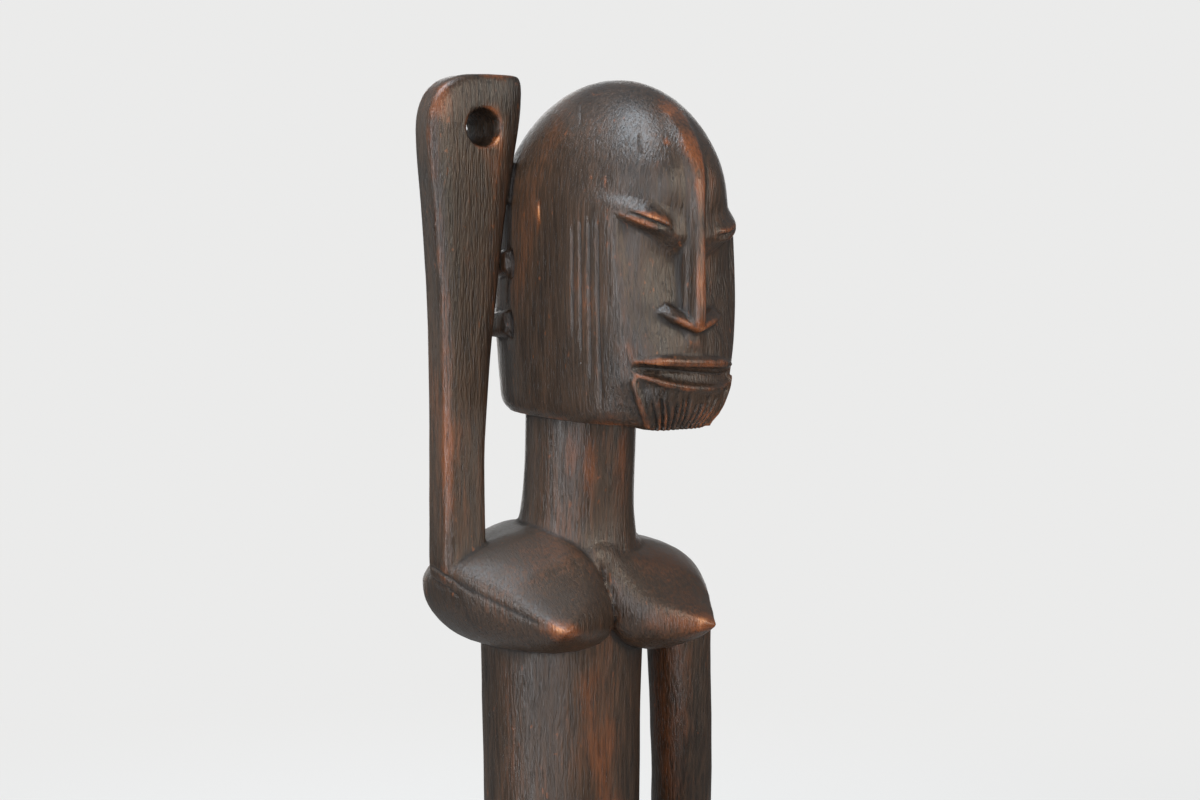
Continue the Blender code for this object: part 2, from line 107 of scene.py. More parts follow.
def angle(name, degrees, description):
    return FloatProperty(
        name=name, default=math.radians(degrees), subtype="ANGLE", unit="ROTATION", description=description
    )


def colour(name, red, green, blue, description):
    return FloatVectorProperty(
        name=name, default=(red, green, blue, 1), min=0.0, max=1.0, size=4, subtype="COLOR",
        description=description,
    )


class BaseSizes(bpy.types.PropertyGroup):
    """The low base under the horse."""

    length: length("Length", 236 * MM, "From front to back")
    width: length("Width", 120 * MM, "From side to side")
    thickness: length("Thickness", 22 * MM, "From the underside to the top")
    corner: length("Corner Radius", 18 * MM, "Of the four upright corners")
    edge: length("Edge Round", 2.5 * MM, "Of the worn upper and lower edges")


class FigureSizes(bpy.types.PropertyGroup):
    """The horse and the rider."""

    horse_height: length("Horse Height", 158 * MM, "From the base's top to the seat")
    horse_length: length("Horse Length", 220 * MM, "From the tail to the muzzle")
    rider_height: length("Rider Height", 320 * MM, "From the seat to the top of the raised hand")
    set_back: length("Set Back", 14 * MM, "Of the rider's axis behind the base's centre")
    hand_hole: length("Hand Hole", 12 * MM, "Its diameter at the palm")


class CarvingMarks(bpy.types.PropertyGroup):
    """How finely the surface is made, and what the knife left on it."""

    grid: length("Surface Grid", 0.58 * MM, "Spacing of the joined surface's points", 0.3 * MM)
    rough_grid: length("Rough Grid", 0.85 * MM, "The same for a quick look", 0.5 * MM)
    triangles: IntProperty(
        name="Triangles", default=194000, min=20000, description="The most that the finished piece may have"
    )
    facet_width: length("Facet Width", 5.0 * MM, "Across the flat left by one cut of the knife")
    facet_length: length("Facet Length", 17 * MM, "Along the same flat")
    facet_depth: length("Facet Depth", 0.34 * MM, "How deep each cut is scooped")
    seed: IntProperty(name="Seed", default=4, min=0, description="Changes where the cuts fall")


class WoodFinish(bpy.types.PropertyGroup):
    """The dark patina and the wood that shows through where it is worn."""

    patina: colour("Patina", 0.012, 0.0082, 0.0058, "Blackened wood in the hollows")
    brown: colour("Brown", 0.049, 0.0268, 0.0148, "Handled wood on the flats")
    worn: colour("Worn", 0.155, 0.049, 0.0155, "Reddish wood on the ridges")
    bare: colour("Bare", 0.42, 0.17, 0.065, "Lighter wood in chips and on the sharpest edges")
    # A darker colour mixed in along the cuts, in the surface's hollows and in the pores
    hollow_and_pore_dark: colour("Hollow And Pore Dark", 0.006, 0.0045, 0.004, "What fills the cuts and pores")
    dust: colour("Dust", 0.032, 0.026, 0.02, "What has settled on the level faces")
    fibre_width: length("Fibre Width", 0.6 * MM, "Spacing of the fine marks along the grain")
    roughness: share("Roughness", 0.36, "Of the polished wood")
    relief: length("Relief", 0.36 * MM, "Depth of the fine marks in the finish")


class StageLook(bpy.types.PropertyGroup):
    """Floor, light and camera."""

    pale: colour("Pale", 0.83, 0.83, 0.825, "Floor and surroundings")
    floor_glow: colour("Floor Glow", 0.3, 0.29, 0.28, "The floor as the wood sees it")
    sky: colour("Sky", 0.86, 0.93, 1.0, "The even light")
    surroundings: share("Surroundings", 1.0, "Strength of the even light", 10.0)
    light: share("Light", 1.0, "Brightness of all the soft lights", 10.0)
    turn: angle("Turn", -33, "Camera's place round the figure, 0 in front of it")
    tilt: angle("Tilt", 4.86, "How far the camera looks down")
    distance: length("Distance", 650 * MM, "From the camera to the rider's axis, level")
    height: length("Height", 452 * MM, "Of the camera above the base's underside")
    aside: length("Aside", 12.7 * MM, "How far the camera stands to the right of the axis")
    lens: FloatProperty(name="Lens", default=60, min=10, unit="CAMERA", description="Focal length")


class CarvedRider(bpy.types.PropertyGroup):
    """All settings of the carving."""

    base: PointerProperty(type=BaseSizes)
    figures: PointerProperty(type=FigureSizes)
    marks: PointerProperty(type=CarvingMarks)
    wood: PointerProperty(type=WoodFinish)
    stage: PointerProperty(type=StageLook)


def settings():
    return bpy.context.scene.carved_rider


# Places and curves

ACROSS = np.array((1.0, 0.0, 0.0))
FORWARD = np.array((0.0, -1.0, 0.0))
UP = np.array((0.0, 0.0, 1.0))
AXES = np.array((ACROSS, FORWARD, UP))
RIDER_PARTS = 320
HORSE_HEIGHT_PARTS = 158
HORSE_LENGTH_PARTS = 220


class Figure:
    """Turns a figure's own parts, each about a millimetre, into places in the frame and back."""

    def __init__(self, foot, part, forward_part):
        self.foot = foot
        self.parts = np.array((part, forward_part, part))

    def at(self, across, forward, up):
        steps = np.stack(np.broadcast_arrays(across, forward, up), -1) * self.parts
        return self.foot + steps @ AXES

    def parts_of(self, places):
        """Across, forward and up of each place, in the figure's parts."""
        return (places - self.foot) @ AXES.T / self.parts

    def size(self):
        return self.parts[0]


def rider():
    sizes = settings().figures
    foot = -FORWARD * sizes.set_back + UP * (settings().base.thickness + sizes.horse_height)
    part = sizes.rider_height / RIDER_PARTS
    return Figure(foot, part, part)


def horse():
    sizes = settings().figures
    foot = -FORWARD * sizes.set_back + UP * settings().base.thickness
    return Figure(foot, sizes.horse_height / HORSE_HEIGHT_PARTS, sizes.horse_length / HORSE_LENGTH_PARTS)


def signed_power(value, power):
    return np.sign(value) * np.abs(value) ** power


def bump(distance, width):
    """1 at distance 0, falling smoothly to 0 a few widths away."""
    return np.exp(-((distance / width) ** 2))


def step_up(value, low, high):
    """0 below low, 1 above high, smooth between."""
    t = np.clip((value - low) / (high - low), 0, 1)
    return t * t * (3 - 2 * t)


def smooth(keys, at):
    """Rows of numbers at places on a smooth curve through the keys, which start with their own places."""
    keys = np.asarray(keys, float)
    at = np.clip(np.asarray(at, float), keys[0, 0], keys[-1, 0])
    i = np.clip(np.searchsorted(keys[:, 0], at, side="right") - 1, 0, len(keys) - 2)
    before, after = np.maximum(i - 1, 0), np.minimum(i + 2, len(keys) - 1)
    place = keys[:, 0]
    span = (place[i + 1] - place[i])[..., None]
    t = (at - place[i])[..., None] / span
    start, end = keys[i, 1:], keys[i + 1, 1:]
    leave = (end - keys[before, 1:]) / (place[i + 1] - place[before])[..., None] * span
    arrive = (keys[after, 1:] - start) / (place[after] - place[i])[..., None] * span
    return (
        start * (1 + 2 * t) * (1 - t) ** 2 + leave * t * (1 - t) ** 2
        + end * t * t * (3 - 2 * t) + arrive * t * t * (t - 1)
    )


def ovals(centres, across, along, half_across, half_along, power, count, near_power=None):
    """Rings of points round the centres: ellipses at power 2, squarer above it and pointed below it."""
    angle = 2 * math.pi * (np.arange(count) + 0.5) / count
    rings = len(centres)
    far = np.broadcast_to(power, rings)[:, None]
    near = far if near_power is None else np.broadcast_to(near_power, rings)[:, None]
    turn = np.where(np.cos(angle) > 0, far, near)
    a = signed_power(np.cos(angle), 2 / turn) * np.broadcast_to(half_across, rings)[:, None]
    b = signed_power(np.sin(angle), 2 / turn) * np.broadcast_to(half_along, rings)[:, None]
    across = np.broadcast_to(across, (rings, 3))[:, None]
    along = np.broadcast_to(along, (rings, 3))[:, None]
    return centres[:, None] + across * a[..., None] + along * b[..., None]


# Closed forms


def forms_collection():
    group = bpy.data.collections.get(FORMS)
    if group is None:
        group = bpy.data.collections.new(FORMS)
        bpy.context.scene.collection.children.link(group)
    return group


def form(name, rings):
    """A closed form skinned over rings of points, kept for the joining."""
    rings = np.asarray(rings)
    rows, count = rings.shape[:2]
    shape = bmesh.new()
    points = [shape.verts.new(p) for p in rings.reshape(-1, 3)]
    for r in range(rows - 1):
        for k in range(count):
            n = (k + 1) % count
            low, high = r * count, (r + 1) * count
            shape.faces.new((points[low + k], points[low + n], points[high + n], points[high + k]))
    shape.faces.new(points[:count][::-1])
    shape.faces.new(points[-count:])
    bmesh.ops.recalc_face_normals(shape, faces=shape.faces)
    mesh = bpy.data.meshes.new(name)
    shape.to_mesh(mesh)
    shape.free()
    thing = bpy.data.objects.new(name, mesh)
    forms_collection().objects.link(thing)
    return thing


def limb(name, figure, keys, count=64, steps=48, axes=None, side=ACROSS, thicken=None):
    """A form along a smooth path. Each key is (across, forward, up, half width, half depth, power).

    The rings lie in the plane of the two given axes, or else stand square to the path with their widths
    turned towards the side vector.
    """
    numbered = [(k, *key) for k, key in enumerate(keys)]
    rows = smooth(numbered, np.linspace(0, len(keys) - 1, steps + 1))
    centres = figure.at(*rows[:, :3].T)
    if axes:
        across, along = axes
    else:
        path = np.empty_like(centres)
        path[1:-1] = centres[2:] - centres[:-2]
        path[0], path[-1] = centres[1] - centres[0], centres[-1] - centres[-2]
        along = np.cross(path, side)
        along /= np.linalg.norm(along, axis=1)[:, None]
        across = np.cross(along, path)
        across /= np.linalg.norm(across, axis=1)[:, None]
    half = np.maximum(rows[:, 3:5], 0.2) * figure.size()
    rings = ovals(centres, across, along, half[:, 0], half[:, 1], rows[:, 5], count)
    if thicken is not None:
        rings = centres[:, None] + (rings - centres[:, None]) * thicken(count, len(centres))[..., None]
    return form(name, rings)


def take_shape(thing):
    """Gives an object the mesh that its modifiers make, and removes them."""
    mesh = finished_mesh(thing)
    thing.modifiers.clear()
    thing.data = mesh


def both_sides(name, figure, keys, *steps):
    """A limb on each side of the figure, from the keys of its left one."""
    for side in (-1, 1):
        limb(f"{name}_{side}", figure, [(side * across, *rest) for across, *rest in keys], *steps)


def finished_mesh(thing):
    """The mesh that an object's modifiers make, as a plain mesh."""
    bpy.context.view_layer.update()
    graph = bpy.context.evaluated_depsgraph_get()
    return bpy.data.meshes.new_from_object(thing.evaluated_get(graph))


# Geometry Nodes


class Tree:
    """Adds nodes to a node tree and links them."""

    def __init__(self, tree):
        self.tree = tree

    def sockets(self, inputs, output):
        """The tree's own inputs, each (name, kind, default), and its one output."""
        for name, kind, *default in inputs:
            socket = self.tree.interface.new_socket(name, in_out="INPUT", socket_type="NodeSocket" + kind)
            if default:
                socket.default_value = default[0]
        self.tree.interface.new_socket(output, in_out="OUTPUT", socket_type="NodeSocketGeometry")
        return self.add("NodeGroupInput").outputs

    def add(self, kind, inputs=(), **options):
        """A node with its options set, and each input given as a socket to link or a value to set."""
        node = self.tree.nodes.new(kind)
        for option, value in options.items():
            setattr(node, option, value)
        for key, value in dict(inputs).items():
            if isinstance(value, bpy.types.NodeSocket):
                self.tree.links.new(value, node.inputs[key])
            else:
                node.inputs[key].default_value = value
        return node

    def made(self, kind, inputs=(), **options):
        """The first output of such a node."""
        return self.add(kind, inputs, **options).outputs[0]

    def math(self, operation, a, b=0.0, clamp=False):
        return self.made("ShaderNodeMath", {0: a, 1: b}, operation=operation, use_clamp=clamp)

    def plus(self, a, b):
        return self.math("ADD", a, b)

    def minus(self, a, b):
        return self.math("SUBTRACT", a, b)

    def times(self, a, b):
        return self.math("MULTIPLY", a, b)

    def larger(self, a, b):
        return self.math("MAXIMUM", a, b)

    def vector(self, operation, a, b):
        key = "Scale" if operation == "SCALE" else 1
        return self.made("ShaderNodeVectorMath", {0: a, key: b}, operation=operation)

    def painted(self, geometry, material, output):
        """Ends the tree: the geometry is made real and given its material."""
        real = self.made("GeometryNodeRealizeInstances", {"Geometry": geometry})
        wooden = self.made("GeometryNodeSetMaterial", {"Geometry": real, "Material": material})
        self.add("NodeGroupOutput", {output: wooden})


def use_tree(thing, tree, values):
    """Gives an object a Geometry Nodes modifier, with its inputs set by name through their identifiers."""
    modifier = thing.modifiers.new(tree.name, "NODES")
    modifier.node_group = tree
    identifiers = {
        item.name: item.identifier
        for item in tree.interface.items_tree
        if item.item_type == "SOCKET" and item.in_out == "INPUT"
    }
    for name, value in values.items():
        modifier[identifiers[name]] = value
    return modifier


def row_tree():
    """Carved locks or notches: one rounded form repeated along a path."""
    known = bpy.data.node_groups.get("row_along_path")
    if known:
        return known
    tree = bpy.data.node_groups.new("row_along_path", "GeometryNodeTree")
    t = Tree(tree)
    given = t.sockets(
        (("Path", "Geometry"), ("Count", "Int", 12), ("Half Size", "Vector", (2 * MM, 2 * MM, 1 * MM)),
         ("Unevenness", "Float", 0.08), ("Seed", "Int", 1), ("Material", "Material")),
        "Row",
    )
    curve = t.made("GeometryNodeMeshToCurve", {"Mesh": given["Path"]})
    upright = t.made("GeometryNodeSetCurveNormal", {"Curve": curve}, mode="Z_UP")
    spaced = t.add("GeometryNodeCurveToPoints", {"Curve": upright, "Count": given["Count"]}, mode="COUNT")
    places = spaced.outputs
    ball = t.made("GeometryNodeMeshIcoSphere", {"Radius": 1.0, "Subdivisions": 3})
    least, most = t.minus(1.0, given["Unevenness"]), t.plus(1.0, given["Unevenness"])
    spread = t.add(
        "FunctionNodeRandomValue", {"Min": least, "Max": most, "Seed": given["Seed"]}, data_type="FLOAT"
    ).outputs["Value"]
    copies = t.made(
        "GeometryNodeInstanceOnPoints",
        {"Points": places["Points"], "Instance": ball, "Rotation": places["Rotation"],
         "Scale": t.vector("SCALE", given["Half Size"], spread)},
    )
    t.painted(copies, given["Material"], "Row")
    return tree


def row(name, path, count, half_size, closed=False):
    """A row of rounded forms along a path of places, kept for the joining."""
    mesh = bpy.data.meshes.new(name + "_path")
    edges = [(k, k + 1) for k in range(len(path) - 1)] + ([(len(path) - 1, 0)] if closed else [])
    mesh.from_pydata([tuple(p) for p in path], edges, [])
    carrier = bpy.data.objects.new(name + "_path", mesh)
    forms_collection().objects.link(carrier)
    use_tree(carrier, row_tree(), {"Count": count, "Half Size": half_size, "Material": wood_material()})
    thing = bpy.data.objects.new(name, finished_mesh(carrier))
    bpy.data.objects.remove(carrier)
    forms_collection().objects.link(thing)
    return thing


def tool_mark_tree():
    """The flats that a knife leaves: every cut scoops the surface a little, longer along the grain."""
    tree = bpy.data.node_groups.new("tool_marks", "GeometryNodeTree")
    t = Tree(tree)
    given = t.sockets(
        (("Surface", "Geometry"), ("Facet Width", "Float", 4 * MM), ("Facet Length", "Float", 14 * MM),
         ("Depth", "Float", 0.3 * MM), ("Seed", "Int", 1), ("Material", "Material")),
        "Surface",
    )
    place = t.made("GeometryNodeInputPosition")
    narrow = t.math("DIVIDE", 1.0, given["Facet Width"])
    long = t.math("DIVIDE", 1.0, given["Facet Length"])
    cells = t.made("ShaderNodeCombineXYZ", {"X": narrow, "Y": narrow, "Z": long})
    sway = t.add("ShaderNodeTexNoise", {"Vector": place, "Scale": 60.0, "Detail": 1.0}).outputs["Color"]
    moved = t.vector("ADD", place, t.vector("SCALE", sway, 4 * MM))
    shift = t.vector("SCALE", (7.1, 3.7, 5.3), given["Seed"])
    lattice = t.vector("ADD", t.vector("MULTIPLY", moved, cells), shift)
    cut = t.add(
        "ShaderNodeTexVoronoi", {"Vector": lattice, "Scale": 1.0, "Randomness": 0.8, "Smoothness": 0.25},
        feature="SMOOTH_F1",
    ).outputs["Distance"]
    rim = 0.6  # squared distance at which a scoop meets its neighbours
    scoop = t.minus(t.math("MINIMUM", t.times(cut, cut), rim), rim)
    strength = t.made("GeometryNodeInputNamedAttribute", {"Name": "tooled"}, data_type="FLOAT")
    depth = t.times(t.times(scoop, given["Depth"]), strength)
    offset = t.vector("SCALE", t.made("GeometryNodeInputNormal"), depth)
    cut_surface = t.made("GeometryNodeSetPosition", {"Geometry": given["Surface"], "Offset": offset})
    t.painted(cut_surface, given["Material"], "Surface")
    return tree


# The base


def base_slab():
    """The low base: a slab with round corners and worn edges."""
    sizes = settings().base
    corner_steps = 12
    edge_steps = 8
    levels = []
    for k in range(edge_steps + 1):
        angle = math.pi / 2 * k / edge_steps
        levels.append((sizes.edge * (1 - math.cos(angle)), sizes.edge * (1 - math.sin(angle))))
    profile = levels + [(sizes.thickness - up, inset) for up, inset in levels[::-1]]
    rings = []
    for up, inset in profile:
        ring = []
        for quarter, (sx, sy) in enumerate(((1, 1), (-1, 1), (-1, -1), (1, -1))):
            for k in range(corner_steps + 1):
                angle = (quarter + k / corner_steps) * math.pi / 2
                radius = sizes.corner - inset
                x = sx * (sizes.width / 2 - sizes.corner) + radius * math.cos(angle)
                y = sy * (sizes.length / 2 - sizes.corner) + radius * math.sin(angle)
                ring.append((x, y, up))
        rings.append(ring)
    form("base_slab", rings)


# The horse


def horse_trunk():
    """Barrel, chest and rump along the base, neck, and a long head carried low in front of it."""
    figure = horse()
    body = [
        (0, -90, 121, 8, 9, 2.0), (0, -86, 122, 20, 21, 2.2), (0, -68, 122, 27, 29, 2.3),
        (0, -36, 120, 27, 28, 2.3), (0, 4, 118, 27, 28, 2.3), (0, 36, 119, 27, 29, 2.3),
        (0, 60, 122, 24, 28, 2.2), (0, 71, 124, 17, 20, 2.1), (0, 77, 124, 5, 6, 2.0),
    ]
    limb("horse_body", figure, body, 96, 90, (ACROSS, UP))
    neck = [
        (0, 38, 126, 20, 24, 2.2), (0, 58, 150, 18, 23, 2.2), (0, 74, 180, 14, 19, 2.3),
        (0, 86, 208, 11.5, 16, 2.3), (0, 90, 226, 10, 12, 2.2),
    ]
    limb("horse_neck", figure, neck, 80, 60)
    head = [
        (0, 76, 229, 6, 7, 2.2), (0, 82, 228, 10.5, 12, 2.4), (0, 94, 217, 12, 14, 2.6),
        (0, 106, 202, 10.5, 11.5, 2.8), (0, 117, 187, 9.5, 9.5, 2.8), (0, 123, 178, 9.5, 9.5, 2.8),
        (0, 126, 174, 7, 7, 2.4),
    ]
    limb("horse_head", figure, head, 80, 60)


def horse_ears():
    keys = [
        (7, 80, 232, 4.4, 3.4, 2.0), (8.5, 79, 242, 3.6, 2.6, 2.0), (9, 80, 250, 1.2, 1.0, 2.0),
    ]
    both_sides("horse_ear", horse(), keys, 32, 24)


MANE_KEYS = [
    (0, 26, 146, 3.2, 7, 2.4), (0, 38, 166, 3.2, 10, 2.4), (0, 56, 192, 3.2, 10, 2.4),
    (0, 68, 218, 3.2, 10, 2.4), (0, 78, 236, 3.0, 8, 2.4), (0, 84, 242, 2.0, 4, 2.4),
]


def horse_mane():
    """A crest along the back of the neck, cut into locks."""
    figure = horse()
    limb("horse_mane", figure, MANE_KEYS, 40, 60)
    numbered = [(k, *key) for k, key in enumerate(MANE_KEYS)]
    rows = smooth(numbered, np.linspace(0.12, len(MANE_KEYS) - 1.5, 60))
    row("mane_locks", figure.at(*rows[:, :3].T), 17, (3.9 * MM, 10.3 * MM, 2.5 * MM))


def horse_tail():
    """A hanging tail with long grooves between its strands."""
    keys = [
        (0, -82, 138, 6, 6, 2.0), (0, -91, 132, 6.5, 5.5, 2.0), (0, -94, 112, 6.5, 5, 2.0),
        (0, -92, 88, 6, 4.5, 2.0), (0, -88, 72, 2.5, 2, 2.0),
    ]
    strands = 9

    def fluted(count, rings):
        angle = 2 * math.pi * np.arange(count) / count
        sway = np.linspace(0, 1.2, rings)[:, None]
        return 0.88 + 0.12 * np.abs(np.cos((angle[None] + sway) * strands / 2)) ** 0.6

    limb("horse_tail", horse(), keys, 90, 60, thicken=fluted)


LEG_PLACES = {"fore": 50, "hind": -68}
KNEE_BENDS = {"fore": 3, "hind": -5}
HOOF_ACROSS = 18


def horse_legs():
    """Four short legs with knees and hooves, sunk a little into the base."""
    sunk = -2.0
    for pair, place in LEG_PLACES.items():
        knee, toe = place + KNEE_BENDS[pair], place + 2
        keys = [
            (15, place, 112, 11, 15, 2.3), (16, place, 92, 11, 14, 2.3), (17.5, knee, 66, 9.5, 11, 2.4),
            (HOOF_ACROSS, knee, 52, 10, 11.5, 2.5), (HOOF_ACROSS, place, 30, 8.5, 9, 2.5),
            (HOOF_ACROSS, place, 14, 9, 10, 2.5), (HOOF_ACROSS, toe, 6, 11, 13, 2.6),
            (HOOF_ACROSS, toe, sunk, 11.5, 13.5, 2.6),
        ]
        both_sides(f"horse_{pair}_leg", horse(), keys, 64, 70)


def saddle():
    """A thick pad over the back, raised in front of the rider and behind."""
    figure = horse()
    keys = [
        (0, -38, 121, 25, 28, 2.3), (0, -36, 121, 29, 31, 2.3), (0, 30, 121, 29, 31, 2.3),
        (0, 32, 121, 25, 28, 2.3),
    ]
    limb("saddle_pad", figure, keys, 96, 3, (ACROSS, UP))
    for name, forward, rise in (("pommel", 27, 160), ("cantle", -37, 163)):
        keys = [
            (0, forward - 4, rise - 14, 13, 6, 2.4), (0, forward - 3, rise - 12, 17, 10, 2.4),
            (0, forward + 2, rise - 12, 17, 10, 2.4), (0, forward + 4, rise - 14, 13, 6, 2.4),
        ]
        limb(name, figure, keys, 64, 12, (ACROSS, UP))


REIN_PLACES = [(9.6, 113, 191), (12.2, 97, 193), (14.2, 80, 194), (12.6, 64, 196), (6.5, 51, 199)]
REIN_SECTION = (2.6, 1.8, 2.6)


def bridle():
    """Raised straps round the muzzle and behind the cheeks, and the reins to the rider's hand."""
    figure = horse()
    for name, forward, up, size in (("noseband", 113.5, 192, 11.6), ("cheek_strap", 95, 215.5, 14.6)):
        keys = [
            (0, forward - 1.4, up + 1.8, size * 0.98, size, 2.6),
            (0, forward + 1.4, up - 1.8, size * 0.94, size * 0.96, 2.6),
        ]
        limb(name, figure, keys, 72, 1)
    there = [(-across, forward, up) for across, forward, up in REIN_PLACES]
    keys = [place + REIN_SECTION for place in there + [(0, 45, 201)] + REIN_PLACES[::-1]]
    limb("reins", figure, keys, 24, 90, side=UP)


# The rider's body


def torso():
    """The long round trunk, set into the saddle."""
    keys = [
        (0, 0, -10, 24, 23, 2.2), (0, 0, 8, 26.5, 25.5, 2.2), (0, 0, 22, 25.4, 25, 2.1),
        (0, 0, 60, 25.2, 25, 2.1), (0, 0, 137, 26.4, 26, 2.1), (0, 2, 158, 27, 26, 2.2),
        (0, 3.5, 171, 24, 23.5, 2.2), (0, 6, 176.5, 17, 17.5, 2.2),
    ]
    limb("torso", rider(), keys, 96, 70, (ACROSS, FORWARD))


def belt():
    """A raised band round the hips, notched all round."""
    figure = rider()
    keys = [
        (0, 0, 12, 24, 23.5, 2.1), (0, 0, 13, 27.2, 26.6, 2.1), (0, 0, 21, 26.8, 26.4, 2.1),
        (0, 0, 22, 24, 23.5, 2.1),
    ]
    limb("belt", figure, keys, 96, 3, (ACROSS, FORWARD))
    angle = 2 * math.pi * np.arange(96) / 96
    path = figure.at(25.6 * np.cos(angle), 25.2 * np.sin(angle), 17.0)
    row("belt_notches", path, 48, (2.0 * MM, 3.6 * MM, 1.6 * MM), closed=True)


CHEST_SLICES = [
    # forward; how far sideways the inner edge, the highest line, the lowest line and the outer ridge lie;
    # and the heights of the lowest line, the ridge and the highest line
    (-23, 2, 14, 16, 36, 147, 158, 168), (-18, 0, 12, 18, 42, 142, 159, 174),
    (-6, -0.5, 10, 20, 46.0, 139, 161, 178), (6, -0.5, 8, 21, 47.5, 139, 164, 179),
    (12, -0.5, 8, 20, 47.2, 139, 165.6, 178.8), (18, -0.5, 8.4, 19, 44.8, 139.4, 163.8, 177.6),
    (28, -0.5, 8.8, 18, 39, 140.2, 159.4, 172.2), (32, 0.5, 9.8, 18.5, 36.8, 141, 157.6, 167.4),
    (36, 4.5, 12.4, 20, 34.4, 142.6, 155.8, 162.8), (41, 11, 16.4, 22.5, 31.8, 145, 153.6, 158.5),
    (45, 19.5, 22, 25.2, 29.6, 148, 152, 154.6), (47.6, 26.3, 27, 27.4, 28.2, 150.2, 151, 151.8),
]


CHEST_MIDDLE = 157.0


def chest_ring(slice_, ridged, quarter_steps=30):
    """One upright section of a breast: full inside and below, and drawn out to a ridge outside."""
    _, inner, highest, lowest, outer, bottom, ridge, top = slice_
    middle = (bottom + top) / 2
    ridge = ridge if ridged else min(ridge, CHEST_MIDDLE)
    quarters = (  # sideways extreme, upright extreme, squareness
        ((outer, ridge), (highest, top), 1.6 if ridged else 2.0),
        ((inner, middle), (highest, top), 2.1), ((inner, middle), (lowest, bottom), 2.6),
        ((outer, ridge), (lowest, bottom), 2.3),
    )
    places = []
    for k, (side, tip, power) in enumerate(quarters):
        angle = (np.arange(quarter_steps) + 0.5) * math.pi / 2 / quarter_steps
        angle = angle if k % 2 == 0 else angle[::-1]
        sideways = tip[0] + (side[0] - tip[0]) * np.cos(angle) ** (2 / power)
        up = side[1] + (tip[1] - side[1]) * np.sin(angle) ** (2 / power)
        places.append(np.stack((sideways, up), -1))
    return np.concatenate(places)


def breasts():
    """Each side of the chest runs from the shoulder to one pointed breast; the right one is ridged."""
    figure = rider()
    numbered = [(k, *slice_) for k, slice_ in enumerate(CHEST_SLICES)]
    rows = smooth(numbered, np.linspace(0, len(CHEST_SLICES) - 1, 100))
    for side, drop, thickness in ((-1, 0.0, 1.0), (1, -4.0, 0.93)):
        rings = []
        for slice_ in rows:
            sideways, up = chest_ring(slice_, side < 0).T
            up = CHEST_MIDDLE + drop + (up - CHEST_MIDDLE) * thickness
            if side > 0:  # its root stands higher at the cleft
                root = (1 - step_up(sideways, 2, 20)) * bump(slice_[0] - 25, 9)
                up = up + 4.5 * root * step_up(up, 148, 166)
            lean = -0.24 * (up - 152) * (1 - step_up(sideways, 5, 22))
            rings.append(figure.at(side * sideways + lean, slice_[0], up))
        form(f"breast_{side}", rings)
    keys = [
        (-1.5, 12, 148, 12, 16.5, 2.2), (-1.5, 12, 160, 12.5, 18.4, 2.2),
        (-1.5, 12, 166, 12.5, 18.6, 2.2), (-1.5, 12, 171, 12, 17.6, 2.2), (-1.5, 12, 175.5, 9, 15, 2.2),
    ]
    limb("cleft_root", figure, keys, 64, 24, (ACROSS, FORWARD))


ARM_EDGES = [  # height, outer edge, inner edge, half thickness
    (157, 45.0, 33.6, 3.4), (160, 47.6, 33.7, 5.2), (164, 49.1, 33.8, 6.6), (168, 49.4, 33.8, 7.0),
    (174, 49.4, 33.8, 7.0), (200, 49.2, 34.0, 6.9), (225, 49.2, 32.4, 6.9), (250, 49.8, 29.6, 6.9),
    (275, 51.4, 26.2, 7.0), (296, 53.2, 22.4, 7.1), (306, 53.2, 20.6, 7.2), (312.5, 51.2, 20.0, 7.0),
    (317, 47.4, 20.0, 6.6), (319.4, 42.0, 21.0, 6.0), (320, 36.0, 23.4, 5.0),
]


def raised_arm():
    """The right arm, one upright post that widens to a flat hand with a tapered hole through it."""
    figure = rider()
    middle = 5  # forward
    keys = [(-(a + b) / 2, middle, up, (a - b) / 2, half, 4.6) for up, a, b, half in ARM_EDGES]
    arm = limb("raised_arm", figure, keys, 96, 130, (ACROSS, FORWARD))
    radius = settings().figures.hand_hole / 2 / figure.size()
    keys = [
        (-35.0, 22, 303.5, radius * 1.2, radius * 1.16, 2.0),
        (-35.1, 12, 303.5, radius * 1.03, radius * 1.0, 2.0),
        (-36.5, -2, 303.7, radius * 0.46, radius * 0.56, 2.0),
        (-37.3, -12, 303.9, radius * 0.4, radius * 0.5, 2.0),
    ]
    cutter = limb("hand_hole", figure, keys, 64, 12, (ACROSS, UP))
    cut = arm.modifiers.new("hand_hole", "BOOLEAN")
    cut.operation = "DIFFERENCE"
    cut.solver = "EXACT"
    cut.object = cutter
    take_shape(arm)
    bpy.data.objects.remove(cutter)


